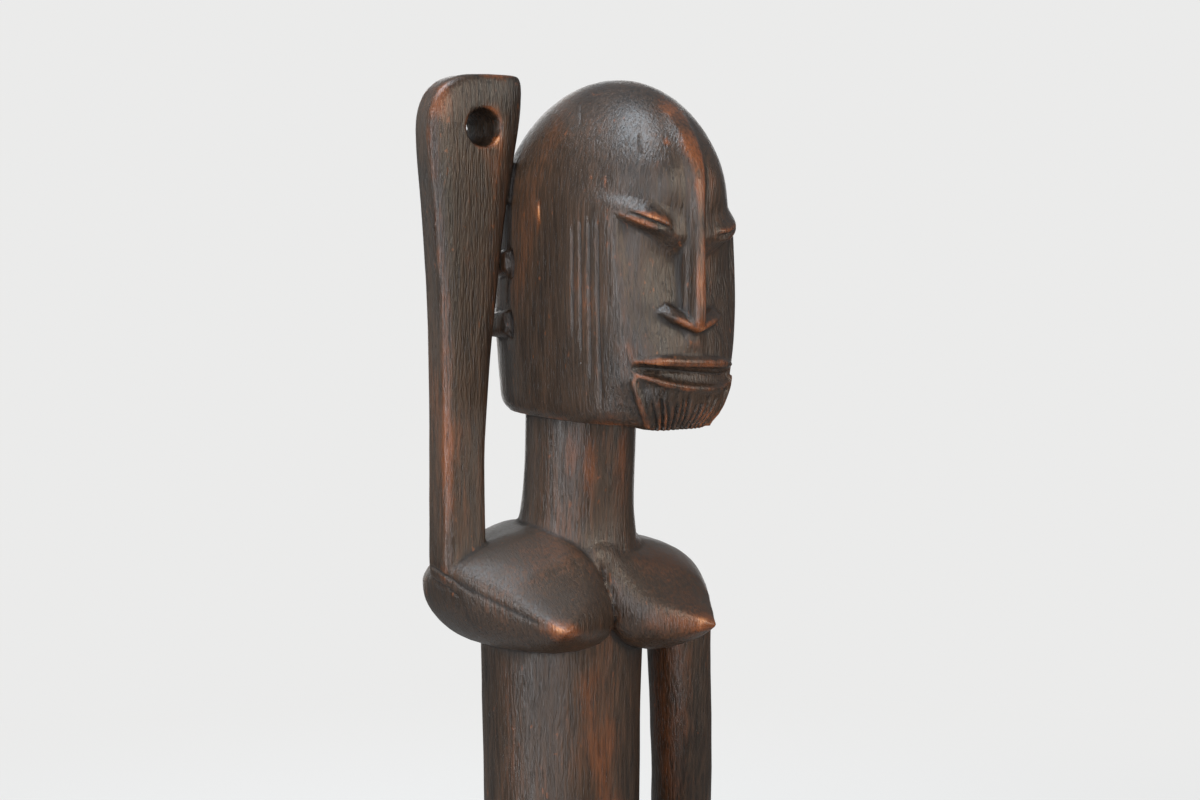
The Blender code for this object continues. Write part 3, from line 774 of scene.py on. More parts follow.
def lowered_arm():
    """The left arm hangs to the elbow, and the forearm reaches down to the horse's neck."""
    man, beast = rider(), horse()
    elbow = man.at(46.5, 0, 66)
    hand = beast.at(9, 58, 192)
    keys = [
        (39.5, 5.5, 155, 10, 11, 2.2), (41.8, 6, 146, 11, 11.5, 2.2), (43.2, 6, 128, 10.4, 10.8, 2.2),
        (45, 5, 96, 10.2, 10.2, 2.2), (46.3, 3, 74, 10, 10, 2.2), (46.5, 1, 66, 9.4, 9.4, 2.2),
    ]
    limb("upper_arm", man, keys, 64, 60)
    reach = hand - elbow
    t = np.linspace(0, 1, 60)
    centres = elbow + reach * t[:, None] - UP * (np.sin(math.pi * t) * 3 * man.size())[:, None]
    across = np.cross(reach, UP)
    across /= np.linalg.norm(across)
    along = np.cross(across, reach)
    along /= np.linalg.norm(along)
    half = (10.4 - 3.0 * t - 1.6 * bump(t - 0.78, 0.2)) * man.size()
    form("forearm", ovals(centres, across, along, half, half * 0.95, 2.2, 64))
    angle = np.linspace(0.06, math.pi - 0.06, 24)
    radius = 10.1 * man.size()
    centres = elbow - UP * (radius * np.cos(angle))[:, None]
    form("elbow", ovals(centres, ACROSS, FORWARD, radius * np.sin(angle), radius * np.sin(angle), 2.0, 48))
    grip = [
        (13, 50, 188, 5, 5, 2.2), (10.5, 56, 192, 8, 7, 2.4), (5, 64, 197, 7.5, 7, 2.4),
        (-2, 70, 201, 3.5, 3.5, 2.2),
    ]
    limb("gripping_hand", beast, grip, 48, 30)


FOOT_ACROSS = 31.5


def legs():
    """The rider's legs lie along the horse's flanks, knees forward and feet flat."""
    leg = [
        (15, -4, 152, 13, 13, 2.1), (24, 6, 146, 13, 13, 2.1), (31, 24, 134, 11, 12, 2.1),
        (33, 36, 120, 9.5, 11, 2.1), (33, 36, 106, 8.5, 10, 2.1), (32, 28, 84, 7.5, 8.5, 2.1),
        (FOOT_ACROSS, 22, 66, 6.5, 7, 2.1),
    ]
    foot = [
        (FOOT_ACROSS, 14, 60, 4, 4, 2.2), (FOOT_ACROSS, 18, 61, 6.5, 6, 2.4),
        (FOOT_ACROSS, 30, 59, 7, 5, 2.6), (FOOT_ACROSS, 40, 57.5, 7.2, 4, 2.8),
        (FOOT_ACROSS, 45, 57, 5, 2.6, 2.4),
    ]
    both_sides("leg", horse(), leg, 56, 60)
    both_sides("foot", horse(), foot, 48, 36, (ACROSS, UP))


# The rider's head; its heights are above the jaw

JAW_LEVEL = 214
HEAD_MIDDLE = 30.5
DOME_FOOT = 66
DOME_HEIGHT = 38
HEAD_KEYS = [  # height, forward end, back end, half width, squareness
    (0, 67.5, -11.5, 22.2, 2.9), (3, 69.4, -14.4, 24.0, 3.0), (9, 71.8, -15.6, 24.6, 3.0),
    (17, 74.4, -16, 24.9, 3.1), (36, 75.6, -16, 25.4, 3.4), (DOME_FOOT, 75.4, -15.5, 25.5, 3.25),
]


def head_size(up):
    """Forward reach, backward reach, half width and squareness of the head at each height."""
    up = np.asarray(up, float)
    front, back, half_width, power = np.moveaxis(smooth(HEAD_KEYS, np.minimum(up, DOME_FOOT)), -1, 0)
    part = np.clip((up - DOME_FOOT) / DOME_HEIGHT, 0, 1)
    reaches = []
    for reach, p in ((front - HEAD_MIDDLE, 2.15), (HEAD_MIDDLE - back, 1.85), (half_width, 2.0)):
        reaches.append(reach * np.maximum(0.0, 1 - part**p) ** (1 / p))
    return *reaches, power - 0.6 * part


LID_LINE = [(6.0, 57.6), (8.8, 59.0), (13, 61.0), (17.3, 62.8), (21.7, 65.2), (24, 66.4)]


def curve(keys, at):
    """The height of a smooth curve through the keys at each place."""
    return smooth(keys, at)[..., 0]


def lid_level(across):
    """Height of the upper lid's worn edge: slanting down to the nose, and lower on the rider's left."""
    return curve(LID_LINE, np.abs(across)) - 3.2 * step_up(across, 4, 14)


# Heights, and how far from the face's middle the cheek's soft edge and the beard's border lie there
CHEEK_EDGE = [(0, 14), (10, 17), (23.4, 19.4), (30.7, 21.0), (40.5, 22.0), (52, 22.6), (64, 22.9)]
BEARD_BORDER = [(-2, 8.8), (0, 10.2), (4.4, 13.0), (9, 15.2), (13.4, 17.0)]


LIP_LINES = {  # across, height of the ridge above the jaw
    "upper_lip": [(-18.8, 19.6), (-12, 19.8), (-4, 19.4), (9.6, 18.6), (18.8, 17.4)],
    "lower_lip": [
        (-18.8, 16.0), (-14, 14.6), (-8.7, 13.0), (-2.8, 11.8), (5, 11.0), (11.6, 10.9), (15.6, 12.2),
        (18.8, 15.0),
    ],
    "slit": [(-18.8, 17.8), (-9.2, 16.9), (2.6, 15.6), (14.2, 14.8), (18.8, 16.2)],
}


def lip_level(name, across):
    return curve(LIP_LINES[name], across)


def eye_depth(side):
    """From the upper lid's worn edge down to the undercut below the lower lid, that far from the middle."""
    return 4.3 - 0.13 * (side - 8.8)


LIDS = [  # depth below the upper lid's edge as a share of the eye's, how far the surface stands out
    (-2.6, 0), (-1.5, 0.35), (-0.6, 1.1), (-0.14, 1.7), (0.04, 1.7), (0.14, 0.9), (0.26, -0.5),
    (0.38, -0.5), (0.5, 0.05), (0.66, 0.1), (0.85, -0.2), (1.2, 0),
]
SWELLS = (  # how far it stands out; from the middle, and how wide; how high, and how tall
    (-1.8, 12.5, 7, 36, 14),  # cheek
    (0.8, 9, 7, 75, 8),  # brow
    (0.8, 6, 9, 25, 4.5),  # muzzle
)


def face_relief(across, up):
    """How far the face stands out from the plain head, in front."""
    side = np.abs(across)
    relief = sum(out * bump(side - a, wide) * bump(up - u, tall) for out, a, wide, u, tall in SWELLS)
    # The lids, the crease over them and the hollow under the eye, which fades down the cheek
    below = lid_level(across) - up
    share_down = below / eye_depth(side)
    relief += curve(LIDS, share_down) * step_up(side, 6.8, 10.5) * (1 - step_up(side, 15.0, 21.6))
    relief -= 1.1 * bump(side - 9.6, 4.6) * bump(below + 4.0, 4.4)
    edge = curve(CHEEK_EDGE, up)
    inside = step_up(side, 1.4, 4.6) * (1 - step_up(side, edge - 4.4, edge + 0.3))
    fade = 1 - 0.6 * step_up(below, 8, 28) - 0.4 * step_up(below, 28, 42)
    soft_edge = 0.55 * (1 - step_up(side, 8, 14))
    relief -= 4.4 * step_up(share_down, 0.76 - soft_edge, 1.2 + soft_edge) * fade * inside
    # The hollow between the lips, and the jaw beside the beard
    lower, slit, upper = [lip_level(name, across) for name in ("lower_lip", "slit", "upper_lip")]
    mouth = step_up(up, lower, slit) * (1 - step_up(up, slit + 0.4, upper))
    relief -= 1.7 * mouth * (1 - step_up(side, 15.5, 19))
    beyond = side - curve(BEARD_BORDER, up)
    jaw_side = step_up(beyond, -0.4, 2.6) * (1 - step_up(up, 7, 15))
    return relief - 1.6 * jaw_side * (1 - step_up(side, 17, 23))


def plain_forward(across, up, rounder=0.0):
    """Where the head's front would lie without the face's relief."""
    reach, _, half_width, power = head_size(up)
    part = np.clip(np.abs(across) / np.maximum(half_width, 1e-6), 0, 1)
    return HEAD_MIDDLE + reach * (1 - part ** (power - rounder)) ** (1 / (power - rounder))


def face_forward(across, up):
    """Where the face's surface lies; the forehead is rounder than the cheeks."""
    rounder = 0.85 * step_up(up - lid_level(across), -3.5, 6)
    return plain_forward(across, up, rounder) + face_relief(across, up)


def on_head(across, forward, up):
    return rider().at(across, forward, JAW_LEVEL + np.asarray(up, float))


def skull():
    """A long narrow head: upright walls, a domed top and a flat jaw."""
    wall = np.linspace(0, DOME_FOOT, 200)
    dome = DOME_FOOT + DOME_HEIGHT * np.sin(np.radians(np.linspace(1.5, 88, 50)))
    count = 360
    angle = 2 * math.pi * (np.arange(count) + 0.5) / count
    rings = []
    for up in np.concatenate((wall, dome)):
        _, back, half_width, power = head_size(up)
        turn = 2 / np.where(np.cos(angle) >= 0, power, power - 0.6 * step_up(up, 40, 80))
        across = half_width * signed_power(np.sin(angle), turn)
        rear = HEAD_MIDDLE - back * np.abs(np.cos(angle)) ** turn
        forward = np.where(np.cos(angle) >= 0, face_forward(across, np.full(count, up)), rear)
        rings.append(on_head(across, forward, up))
    form("skull", rings)


def nose():
    """The crest of the forehead runs straight down into a thin nose with a tip like an arrowhead."""
    crest = [  # height above the jaw, how far it stands out, half width at its foot and at its top
        (29.2, 3.8, 3.0, 1.2), (32, 4.5, 3.2, 1.4), (42, 4.2, 2.9, 1.35), (56, 3.7, 3.0, 1.2),
        (66, 3.1, 4.2, 1.2), (76, 2.4, 5.6, 1.6), (84, 1.6, 5.8, 2.0), (93, 0.3, 4.0, 1.6),
    ]
    rings = []
    for up in np.linspace(crest[0][0], crest[-1][0], 110):
        stand, foot, top = smooth(crest, up)
        surface = float(face_forward(0.0, up))
        half = [
            (foot, surface - 6), (foot, surface - 1.2), ((foot + top) / 2, surface + stand * 0.1),
            (top * 1.4, surface + stand * 0.7), (top, surface + stand * 0.96),
        ]
        outline = [(-a, f) for a, f in half] + [(0, surface + stand * 1.05)] + half[::-1]
        aside = -1.1 + 0.9 * step_up(up, 36, 80)
        rings.append([on_head(a + aside, f, up) for a, f in outline])
    form("nose_crest", rings)
    # The tip's barbs: a worn lower edge from which the upper face slopes back into the cheek
    rings = []
    for t in np.linspace(-1, 1, 61):
        side = abs(t)
        reach, rise = (10.4, 5.0) if t < 0 else (12.2, 3.6)
        across = reach * t - 0.9
        up = crest[0][0] + rise * side**1.15
        end = 1 - step_up(side, 0.66, 1.04)
        edge = 79.4 - 5.0 * side**1.1 - 1.4 * (1 - end)
        top = 1.9 * side
        upper = ((0.0, 0.0), (-0.5, 0.9), (-2.2 - side, 2.4 + top), (-7, 3.2 + top))
        section = upper + ((-7, -0.6), (-2.4, -1.4), (-0.5, -0.8))
        rings.append([on_head(across, edge + f, up + u * (0.25 + 0.75 * end)) for f, u in section])
    form("nose_barbs", rings)


def lips():
    """Two raised lips that run right across the face, apart in the middle."""
    part = rider().size()
    half_mouth = 17.5
    across = half_mouth * np.linspace(-1, 1, 80)
    outward = np.stack((across / half_mouth * 0.6, np.full(80, -1.0), np.zeros(80)), -1)
    outward /= np.linalg.norm(outward, axis=1)[:, None]
    end = 1 - 0.8 * np.abs(across / half_mouth) ** 4
    for name, lift, out, thick in (("upper_lip", 0.9, 1.5, 1.6), ("lower_lip", -0.6, 1.7, 1.4)):
        up = lip_level(name, across)
        centres = on_head(across, face_forward(across, up + lift), up)
        form(name, ovals(centres, outward, UP, out * end * part, thick * end * part, 2.0, 24))


BEARD_TOP = 11.5
BEARD_STAND = [(-1.5, 0.3), (0, 1.0), (4, 1.4), (8, 1.2), (BEARD_TOP, 0.4)]  # height, how far it stands out


def on_beard(share_across, up):
    """Places on the beard's front; the share runs from -1 to 1 between its borders."""
    across = curve(BEARD_BORDER, up) * np.asarray(share_across, float)
    surface = face_forward(across, np.full(across.shape, max(up, 0.0)))
    return across, surface + curve(BEARD_STAND, up) - 0.8 * np.abs(share_across) ** 6


def beard():
    """A short square beard under the lower lip, between two raised borders."""
    part = rider().size()
    rings = []
    for up in np.linspace(-1.5, BEARD_TOP, 40):
        across, forward = on_beard(np.linspace(-1, 1, 90), up)
        ring = list(on_head(across, forward, up))
        ring += [on_head(across[k] * 0.9, HEAD_MIDDLE + 20, up) for k in (-1, 0)]
        rings.append(ring)
    form("beard", rings)
    foot, top = -0.8, 14.4
    up = np.linspace(foot, top, 40)
    thick = (1.4 - 0.5 * bump(up - top, 3)) * part
    for side in (-1, 1):
        across = side * (curve(BEARD_BORDER, up) + 0.3)
        surface = face_forward(across, np.maximum(up, 0.0))
        out = ACROSS * side * 0.6 + FORWARD * 0.8
        centres = on_head(across, surface + 0.1, up)
        form(f"beard_border_{side}", ovals(centres, out, np.cross(UP, out), thick * 1.2, thick, 2.0, 20))


def ears():
    """A small ear on each side of the head: two blunt prongs, one above the other, that point back."""
    for name, level, root, tip in (("upper", 47.6, 8.6, 1.8), ("lower", 28.2, 7.6, -3.0)):
        up = JAW_LEVEL + level
        keys = [
            (23.6, root + 1.2, up + 0.3, 1.0, 2.4, 2.4), (24.0, root, up + 0.3, 2.2, 3.6, 2.8),
            (24.2, (root + tip) / 2, up, 2.5, 4.0, 2.8), (23.8, tip + 0.6, up - 0.6, 2.6, 3.6, 2.6),
            (23.0, tip - 1.0, up - 0.9, 1.6, 2.4, 2.2),
        ]
        both_sides(f"ear_{name}_prong", rider(), keys, 40, 30, (ACROSS, UP))


def rider_neck():
    keys = [
        (0, 8, 166, 20, 21, 2.3), (0, 8.8, 176, 18.6, 19, 2.3), (0, 9.8, 183, 17.6, 17.8, 2.3),
        (0, 11, 195, 17.2, 17.2, 2.3), (0, 12.4, JAW_LEVEL + 4, 17.2, 17.2, 2.3),
    ]
    limb("neck", rider(), keys, 80, 24, (ACROSS, FORWARD))


# Cut lines, each its places as across, forward and up of its figure, its half width and its depth


def mirrored(lines):
    """The lines and the same on the figure's other side."""
    return lines + [([(-a, f, u) for a, f, u in places], width, depth) for places, width, depth in lines]


def temple_lines():
    """Four upright lines on each temple, and the grooves round the ear."""
    wall = -25
    lines = []
    for forward, top, foot in ((46.5, 276, 238), (50.4, 278, 233), (54.6, 278, 226), (58.6, 277, 219)):
        middle = (wall, forward + 0.4, (top + foot) / 2)
        lines.append(([(wall, forward, top), middle, (wall, forward, foot)], 0.6, 0.8))
    for forward, foot, top in ((11.0, 256.5, 266.5), (10.0, 237.5, 247)):
        middle = (wall, forward, (foot + top) / 2)
        lines.append(([(wall, forward - 1, foot), middle, (wall, forward - 1.4, top)], 1.5, 1.4))
    lines.append(([(wall, 8.6, 257), (wall, 8.0, 252), (wall, 8.0, 248)], 0.7, 0.35))
    return mirrored(lines)


def face_lines():
    """The slits between the lids and between the lips, and the beard's locks."""
    lines = []
    for side in (-1, 1):
        across = side * np.linspace(20.0, 9.6, 7)
        up = lid_level(across) - 0.3 * eye_depth(np.abs(across))
        lines.append(([(a, plain_forward(a, 57.0), JAW_LEVEL + u) for a, u in zip(across, up)], 0.36, 0.8))
    across = np.linspace(-17.6, 16.4, 9)
    up = lip_level("slit", across) + 0.2
    lines.append((np.stack((across, face_forward(across, up), JAW_LEVEL + up), -1), 0.6, 0.8))
    for k in range(11):
        place = (k - 5) / 5.9
        sway = 0.03 * math.sin(2.3 * k)
        top = 8.2 + 1.6 * math.sin(1.7 * k)
        line = []
        for up in (top, top * 0.6, top * 0.3, 0.6, -0.6):
            across, forward = on_beard(place + sway * up / 8, up)
            line.append((float(across), float(forward), JAW_LEVEL + up))
        line.append((line[-1][0], line[-1][1] - 3.5, JAW_LEVEL - 0.4))
        width, depth = (0.55, 1.4) if k % 2 else (0.45, 1.0)
        lines.append((line, width, depth))
    return lines


def chest_lines():
    """The ridges' edges, the slit at the cleft and the furrow of the spine."""
    return [
        ([(-47, 12, 164.4), (-42, 22, 159.6), (-36, 33, 155.2), (-31, 41, 152.2)], 1.0, 0.3),
        ([(-50, 0, 167), (-49, 8, 165.6), (-46.6, 14, 162.6), (-43, 20, 159.6)], 0.6, 0.6),
        ([(-50, 0, 162.4), (-48.6, 8, 161), (-46, 14, 158.6)], 0.55, 0.45),
        ([(-4.4, 30, 168), (-3.2, 31, 164), (-1.6, 32, 157), (-0.2, 31, 150), (0.8, 28, 144)], 0.7, 0.9),
        ([(0, -24.5, 176), (0, -26, 150), (0, -25.4, 100), (0, -25.2, 40)], 2.4, 0.7),
    ]


def cracks():
    """Drying cracks along the grain."""
    return [
        ([(-15.3, 35.3, 311), (-18, 39, 308), (-20.0, 42.5, 303.5)], 0.35, 0.4),
        ([(-13.4, 64.3, 301.7), (-15.0, 66, 298), (-15.9, 68.0, 294.5)], 0.35, 0.4),
        ([(-25.4, 28.3, 281), (-25.4, 28.6, 275)], 0.5, 0.45),
        ([(3, -12, 300), (4, -12.4, 270), (3, -12.4, 246), (4.4, -12, 230)], 0.45, 0.7),
        ([(16, -8, 290), (17, -10, 262)], 0.4, 0.5),
        ([(-8, -25, 120), (-7, -25, 92), (-8, -25, 70)], 0.45, 0.6),
        ([(25.6, 2, 118), (25.6, 3, 92), (25.4, 2, 74)], 0.4, 0.5),
    ]


def horse_lines():
    """On the horse the saddle's edges, mouth, nostrils, eyes and hooves, on the rider toes and fingers."""
    saddle_edge = ((6, 151.5), (18, 147), (26, 136), (29, 121), (26, 106), (18, 95))
    lines = [([(a, forward, u) for a, u in saddle_edge], 0.6, 0.45) for forward in (-33, 27)]
    lines += [
        ([(8, 121, 178), (9.4, 115, 180), (9.6, 109, 187)], 0.6, 0.7),
        ([(5.2, 126.5, 181), (7.6, 124.5, 184)], 1.0, 0.9),
        ([(12.4, 99, 216), (11.2, 93.5, 222.5), (9.6, 90, 227)], 0.7, 0.7),
        ([(39.5, 26, 70), (36, 32, 69), (30, 30, 70)], 0.5, 0.4),
    ]
    for toe in (-3.6, -1.2, 1.2, 3.6):
        a = FOOT_ACROSS + toe
        lines.append(([(a, 46, 56.5), (a, 43, 60.5), (a, 38, 61.6)], 0.45, 0.6))
    lines = mirrored(lines)
    turn = np.linspace(0, 2 * math.pi, 25)
    for across, place in itertools.product((-HOOF_ACROSS, HOOF_ACROSS), LEG_PLACES.values()):
        ring = zip(across + 11 * np.cos(turn), place + 2 + 13 * np.sin(turn))
        lines.append(([(a, f, 10.0) for a, f in ring], 0.6, 0.5))
    for k in range(3):
        f = 56.5 + 4.4 * k
        root, knuckle = (14.5 - 2.6 * k, f - 1, 200 + k), (9 - 2 * k, f + 4.5, 205 + k)
        lines.append(([root, knuckle, (15.5 - 2.6 * k, f + 5, 194 + 1.6 * k)], 0.5, 0.5))
    return lines


def base_lines():
    """Drying cracks that run in from the base's rim, and upright ones on its sides."""
    return [
        ([(40, 96, 22), (33, 90, 22), (26, 86, 22)], 0.45, 0.9),
        ([(-48, -92, 22), (-40, -86, 22), (-35, -78, 22)], 0.45, 0.9),
        ([(-60, 20, 4), (-60, 19, 14), (-60, 20, 20)], 0.45, 0.8),
        ([(60, -44, 2), (60, -43, 12), (60, -44.5, 19)], 0.45, 0.8),
        ([(12, 118, 3), (12.6, 118, 14), (12, 118, 20)], 0.45, 0.8),
        ([(-10, -118, 3), (-10.5, -118, 16)], 0.45, 0.8),
    ]


def cut_lines():
    """Every cut line, in the frame: places, half width and depth."""
    man, beast = rider(), horse()
    ground = Figure(np.zeros(3), MM, MM)
    groups = (
        (man, temple_lines() + face_lines() + chest_lines() + cracks()), (beast, horse_lines()),
        (ground, base_lines()),
    )
    cuts = []
    for figure, lines in groups:
        for places, width, depth in lines:
            cuts.append((figure.at(*np.array(places, float).T), width * MM, depth * MM))
    return cuts


# The joined surface


def all_vectors(items, name, width, kind=float):
    values = np.empty(len(items) * width, np.float32 if kind is float else np.int32)
    items.foreach_get(name, values)
    return values.reshape(-1, width)


def soften(values, edges, rounds, amount=0.5):
    """Each point moves towards the middle of its neighbours, several times over."""
    values = np.array(values, float)
    total = len(values)
    a, b = edges[:, 0], edges[:, 1]
    neighbours = np.bincount(a, minlength=total) + np.bincount(b, minlength=total)
    neighbours = np.maximum(neighbours, 1)[:, None]
    flat = values.reshape(total, -1)
    for n in range(rounds):
        step = amount if np.isscalar(amount) else amount[n % len(amount)]
        sums = [np.bincount(a, column[b], total) + np.bincount(b, column[a], total) for column in flat.T]
        flat += (np.stack(sums, -1) / neighbours - flat) * step
    return flat.reshape(values.shape)


def grid_step():
    marks = settings().marks
    return marks.grid


def joined_surface():
    """All forms as one closed surface, on an even grid."""
    shape = bmesh.new()
    for thing in list(forms_collection().objects):
        shape.from_mesh(thing.data)
        bpy.data.objects.remove(thing)
    mesh = bpy.data.meshes.new("joined_forms")
    shape.to_mesh(mesh)
    shape.free()
    thing = bpy.data.objects.new("joined_forms", mesh)
    forms_collection().objects.link(thing)
    remesh = thing.modifiers.new("one_surface", "REMESH")
    remesh.mode = "VOXEL"
    remesh.voxel_size = grid_step()
    remesh.adaptivity = 0
    surface = finished_mesh(thing)
    bpy.data.objects.remove(thing)
    return surface


def set_points(mesh, points):
    mesh.vertices.foreach_set("co", np.asarray(points, np.float32).ravel())
    mesh.update()


def set_attribute(mesh, name, values):
    layer = mesh.attributes.get(name) or mesh.attributes.new(name, "FLOAT", "POINT")
    layer.data.foreach_set("value", np.asarray(values, np.float32))


def on_surface(thing, places, spacing):
    """A line of places laid on the surface, evenly spaced."""
    steps = np.linalg.norm(np.diff(places, axis=0), axis=1)
    gone = np.concatenate(([0], np.cumsum(steps)))
    count = max(2, int(gone[-1] / spacing) + 1)
    line = smooth(np.column_stack((gone, places)), np.linspace(0, gone[-1], count))
    return np.array([thing.closest_point_on_mesh(Vector(p))[1] for p in line])


def near(points, line, reach):
    """The points within reach of a line's box, their distances to the line and shares along it."""
    low, high = line.min(0) - reach, line.max(0) + reach
    chosen = np.nonzero(np.all((points > low) & (points < high), axis=1))[0]
    if not len(chosen):
        return chosen, np.empty(0), np.empty(0)
    gaps = np.linalg.norm(points[chosen][:, None] - line[None], axis=2)
    nearest = gaps.argmin(1)
    return chosen, gaps[np.arange(len(chosen)), nearest], nearest / (len(line) - 1)


def finer_along(mesh, lines):
    """Splits the faces beside the cut lines, so that the cuts have clean sides."""
    points = all_vectors(mesh.vertices, "co", 3)
    marked = np.zeros(len(points), bool)
    for line, width, _ in lines:
        chosen, gap, _ = near(points, line, 3 * width)
        marked[chosen[gap < 2.2 * width + 0.2 * MM]] = True
    shape = bmesh.new()
    shape.from_mesh(mesh)
    shape.edges.ensure_lookup_table()
    ends = all_vectors(mesh.edges, "vertices", 2, int)
    chosen = np.nonzero(marked[ends[:, 0]] & marked[ends[:, 1]])[0]
    bmesh.ops.subdivide_edges(shape, edges=[shape.edges[k] for k in chosen], cuts=1, use_grid_fill=True)
    shape.to_mesh(mesh)
    shape.free()


def cut_into(mesh, lines):
    """Sinks the lines into the surface, and returns how deep each point lies in a cut, from 0 to 1."""
    points = all_vectors(mesh.vertices, "co", 3).astype(float)
    normals = all_vectors(mesh.vertices, "normal", 3)
    sunk = np.zeros(len(points))
    depths = np.zeros(len(points))
    for line, width, depth in lines:
        chosen, gap, along = near(points, line, 2 * width)
        profile = np.clip(1 - gap / (width * 1.5), 0, 1) ** 1.3
        taper = np.clip(np.sin(math.pi * np.clip(along, 0.02, 0.98)) * 3, 0.25, 1)
        cut = profile * taper
        depths[chosen] = np.maximum(depths[chosen], cut * depth)
        sunk[chosen] = np.maximum(sunk[chosen], cut)
    set_points(mesh, points - normals * depths[:, None])
    return sunk


def tooling(points):
    """How strongly the knife's flats show: fully on horse and base, lightly on head and chest."""
    up = rider().parts_of(points)[:, 2]
    return 1.0 - 0.35 * step_up(up, 120, 150) - 0.3 * step_up(up, JAW_LEVEL - 10, JAW_LEVEL + 20)


RUBBED = (  # where hands have been: across, forward, up, its reach round and upwards, how worn
    (0, 62.7, 307, 5, 7, 0.8), (-0.9, 73, 298, 4, 9, 0.7), (4, 76, 286, 4, 12, 0.5),
    (-25.3, 42, 280, 3, 6, 0.3),
    (-48, 11, 235, 3, 22, 0.4), (-48.2, 10.7, 205, 3, 26, 0.6), (-44.2, 12, 208, 4.5, 14, 0.5),
    (-48.4, 11.3, 311, 4, 6, 0.5), (-25.8, 12, 298, 3, 12, 0.35), (-31.4, 12, 288, 6, 9, 0.4),
    (-38.5, 12, 284, 5, 9, 0.3), (-11.7, 25.2, 205, 4, 13, 0.5), (-6.7, 27.8, 198, 3, 16, 0.6),
    (5.2, 28, 198, 4, 18, 0.65), (-8.5, 26, 183, 5, 6, 0.4), (-29.8, 44.8, 151, 6, 4, 0.9),
    (10.5, 39, 147.8, 6, 4, 0.6), (18, 42.6, 149, 7, 3.5, 0.65), (25, 45, 149, 5, 3.5, 0.8),
    (-4.5, 25.5, 128, 7, 16, 0.5), (-1, 25.5, 106, 8, 18, 0.65), (3.4, 25.2, 84, 8, 14, 0.6),
    (-22, 13, 60, 8, 16, 0.4), (36, 10, 112, 8, 42, 0.5), (-19.5, 66.8, 237, 4, 8, 0.45),
    (-19.1, 63.5, 222, 4, 6, 0.4), (-14, 74.5, 275, 5, 1.8, 0.9), (-0.9, 80, 257, 2.4, 15, 0.4),
    (-0.9, 80, 244.4, 6, 2.6, 0.5), (-13.4, 65.6, 214.6, 3, 3, 0.7), (0, -25, 120, 14, 40, 0.35),
    (0, -12, 262, 12, 30, 0.3), (44, -8, 100, 8, 34, 0.4), (-3, 69, 216.5, 8, 3, 0.4),
    (7, 69, 217, 4, 4, 0.4),
)
CHIPPED = (  # small spots of bare wood: across, forward, up, reach round and upwards
    (-23, 54.4, 290.7, 0.9, 1.5), (-22.3, 53.9, 294.6, 0.7, 0.9), (-17.4, 65.1, 295.5, 0.6, 1.3),
    (-7, 70, 298.4, 0.6, 1.8), (-25.4, 28.3, 277.8, 0.6, 3.2), (-23.1, 60.4, 274, 0.7, 1.3),
    (-30.2, 12, 300, 0.8, 1.2), (-28.6, 12, 297, 0.6, 1.4), (-41, 12, 262, 0.6, 2.2),
)


BARE = 2.4  # how worn a chip is


def dots(a, b):
    """The dot product of each pair of rows."""
    return np.einsum("ij,ij->i", a, b)


def rubbed(points):
    """How worn each point is by handling, and by chips."""
    places = rider().parts_of(points)

    def spots(rows):
        most = np.zeros(len(points))
        for *middle, reach, rise, amount in rows:
            away = (places - middle) / (reach, reach, rise)
            most = np.maximum(most, amount * np.exp(-dots(away, away)))
        return most

    return spots(RUBBED), spots([(*spot, reach * 1.3, rise, BARE) for *spot, reach, rise in CHIPPED])


def wear(mesh, sunk):
    """Keeps on every point how worn, how deep in a hollow, how level and how dusty it is."""
    points = all_vectors(mesh.vertices, "co", 3).astype(float)
    normals = all_vectors(mesh.vertices, "normal", 3)
    edges = all_vectors(mesh.edges, "vertices", 2, int)
    # A ridge stands out from the softened surface, more so from one softened over a broader reach
    fine_rounds, broad_rounds = [round(2 * (reach / grid_step()) ** 2) for reach in (1.1 * MM, 2.6 * MM)]
    fine = soften(points, edges, fine_rounds)
    broad = soften(fine, edges, broad_rounds - fine_rounds)
    ridge = (3.6 * dots(points - fine, normals) + 1.1 * dots(points - broad, normals)) / MM
    ridge = soften(ridge, edges, 2)
    handled, chipped = rubbed(points)
    x, y, z = points.T / MM
    blotches = np.sin(x * 0.31 + 2 * np.sin(z * 0.13)) * np.sin(y * 0.27 + z * 0.21 + np.sin(x * 0.4))
    patchy = np.clip(0.62 + 0.9 * blotches * np.sin(z * 0.37), 0.2, 1.1)
    worn = np.clip(ridge, 0, 0.95) * patchy + handled * (1 - np.clip(-ridge * 2, 0, 1))
    level = np.clip(normals[:, 2], 0, 1)
    below_head = 1 - step_up(rider().parts_of(points)[:, 2], 200, 240)
    set_attribute(mesh, "level", level)
    set_attribute(mesh, "dusty", level * below_head)
    set_attribute(mesh, "worn", np.clip(np.maximum(worn, chipped), 0, BARE))
    set_attribute(mesh, "sunk", np.clip(np.maximum(sunk, -ridge), 0, 1.5))


# The wood


def wood_material():
    material = bpy.data.materials.get("dark_carved_wood")
    if material is None:
        material = bpy.data.materials.new("dark_carved_wood")
        material.use_nodes = True
    return material


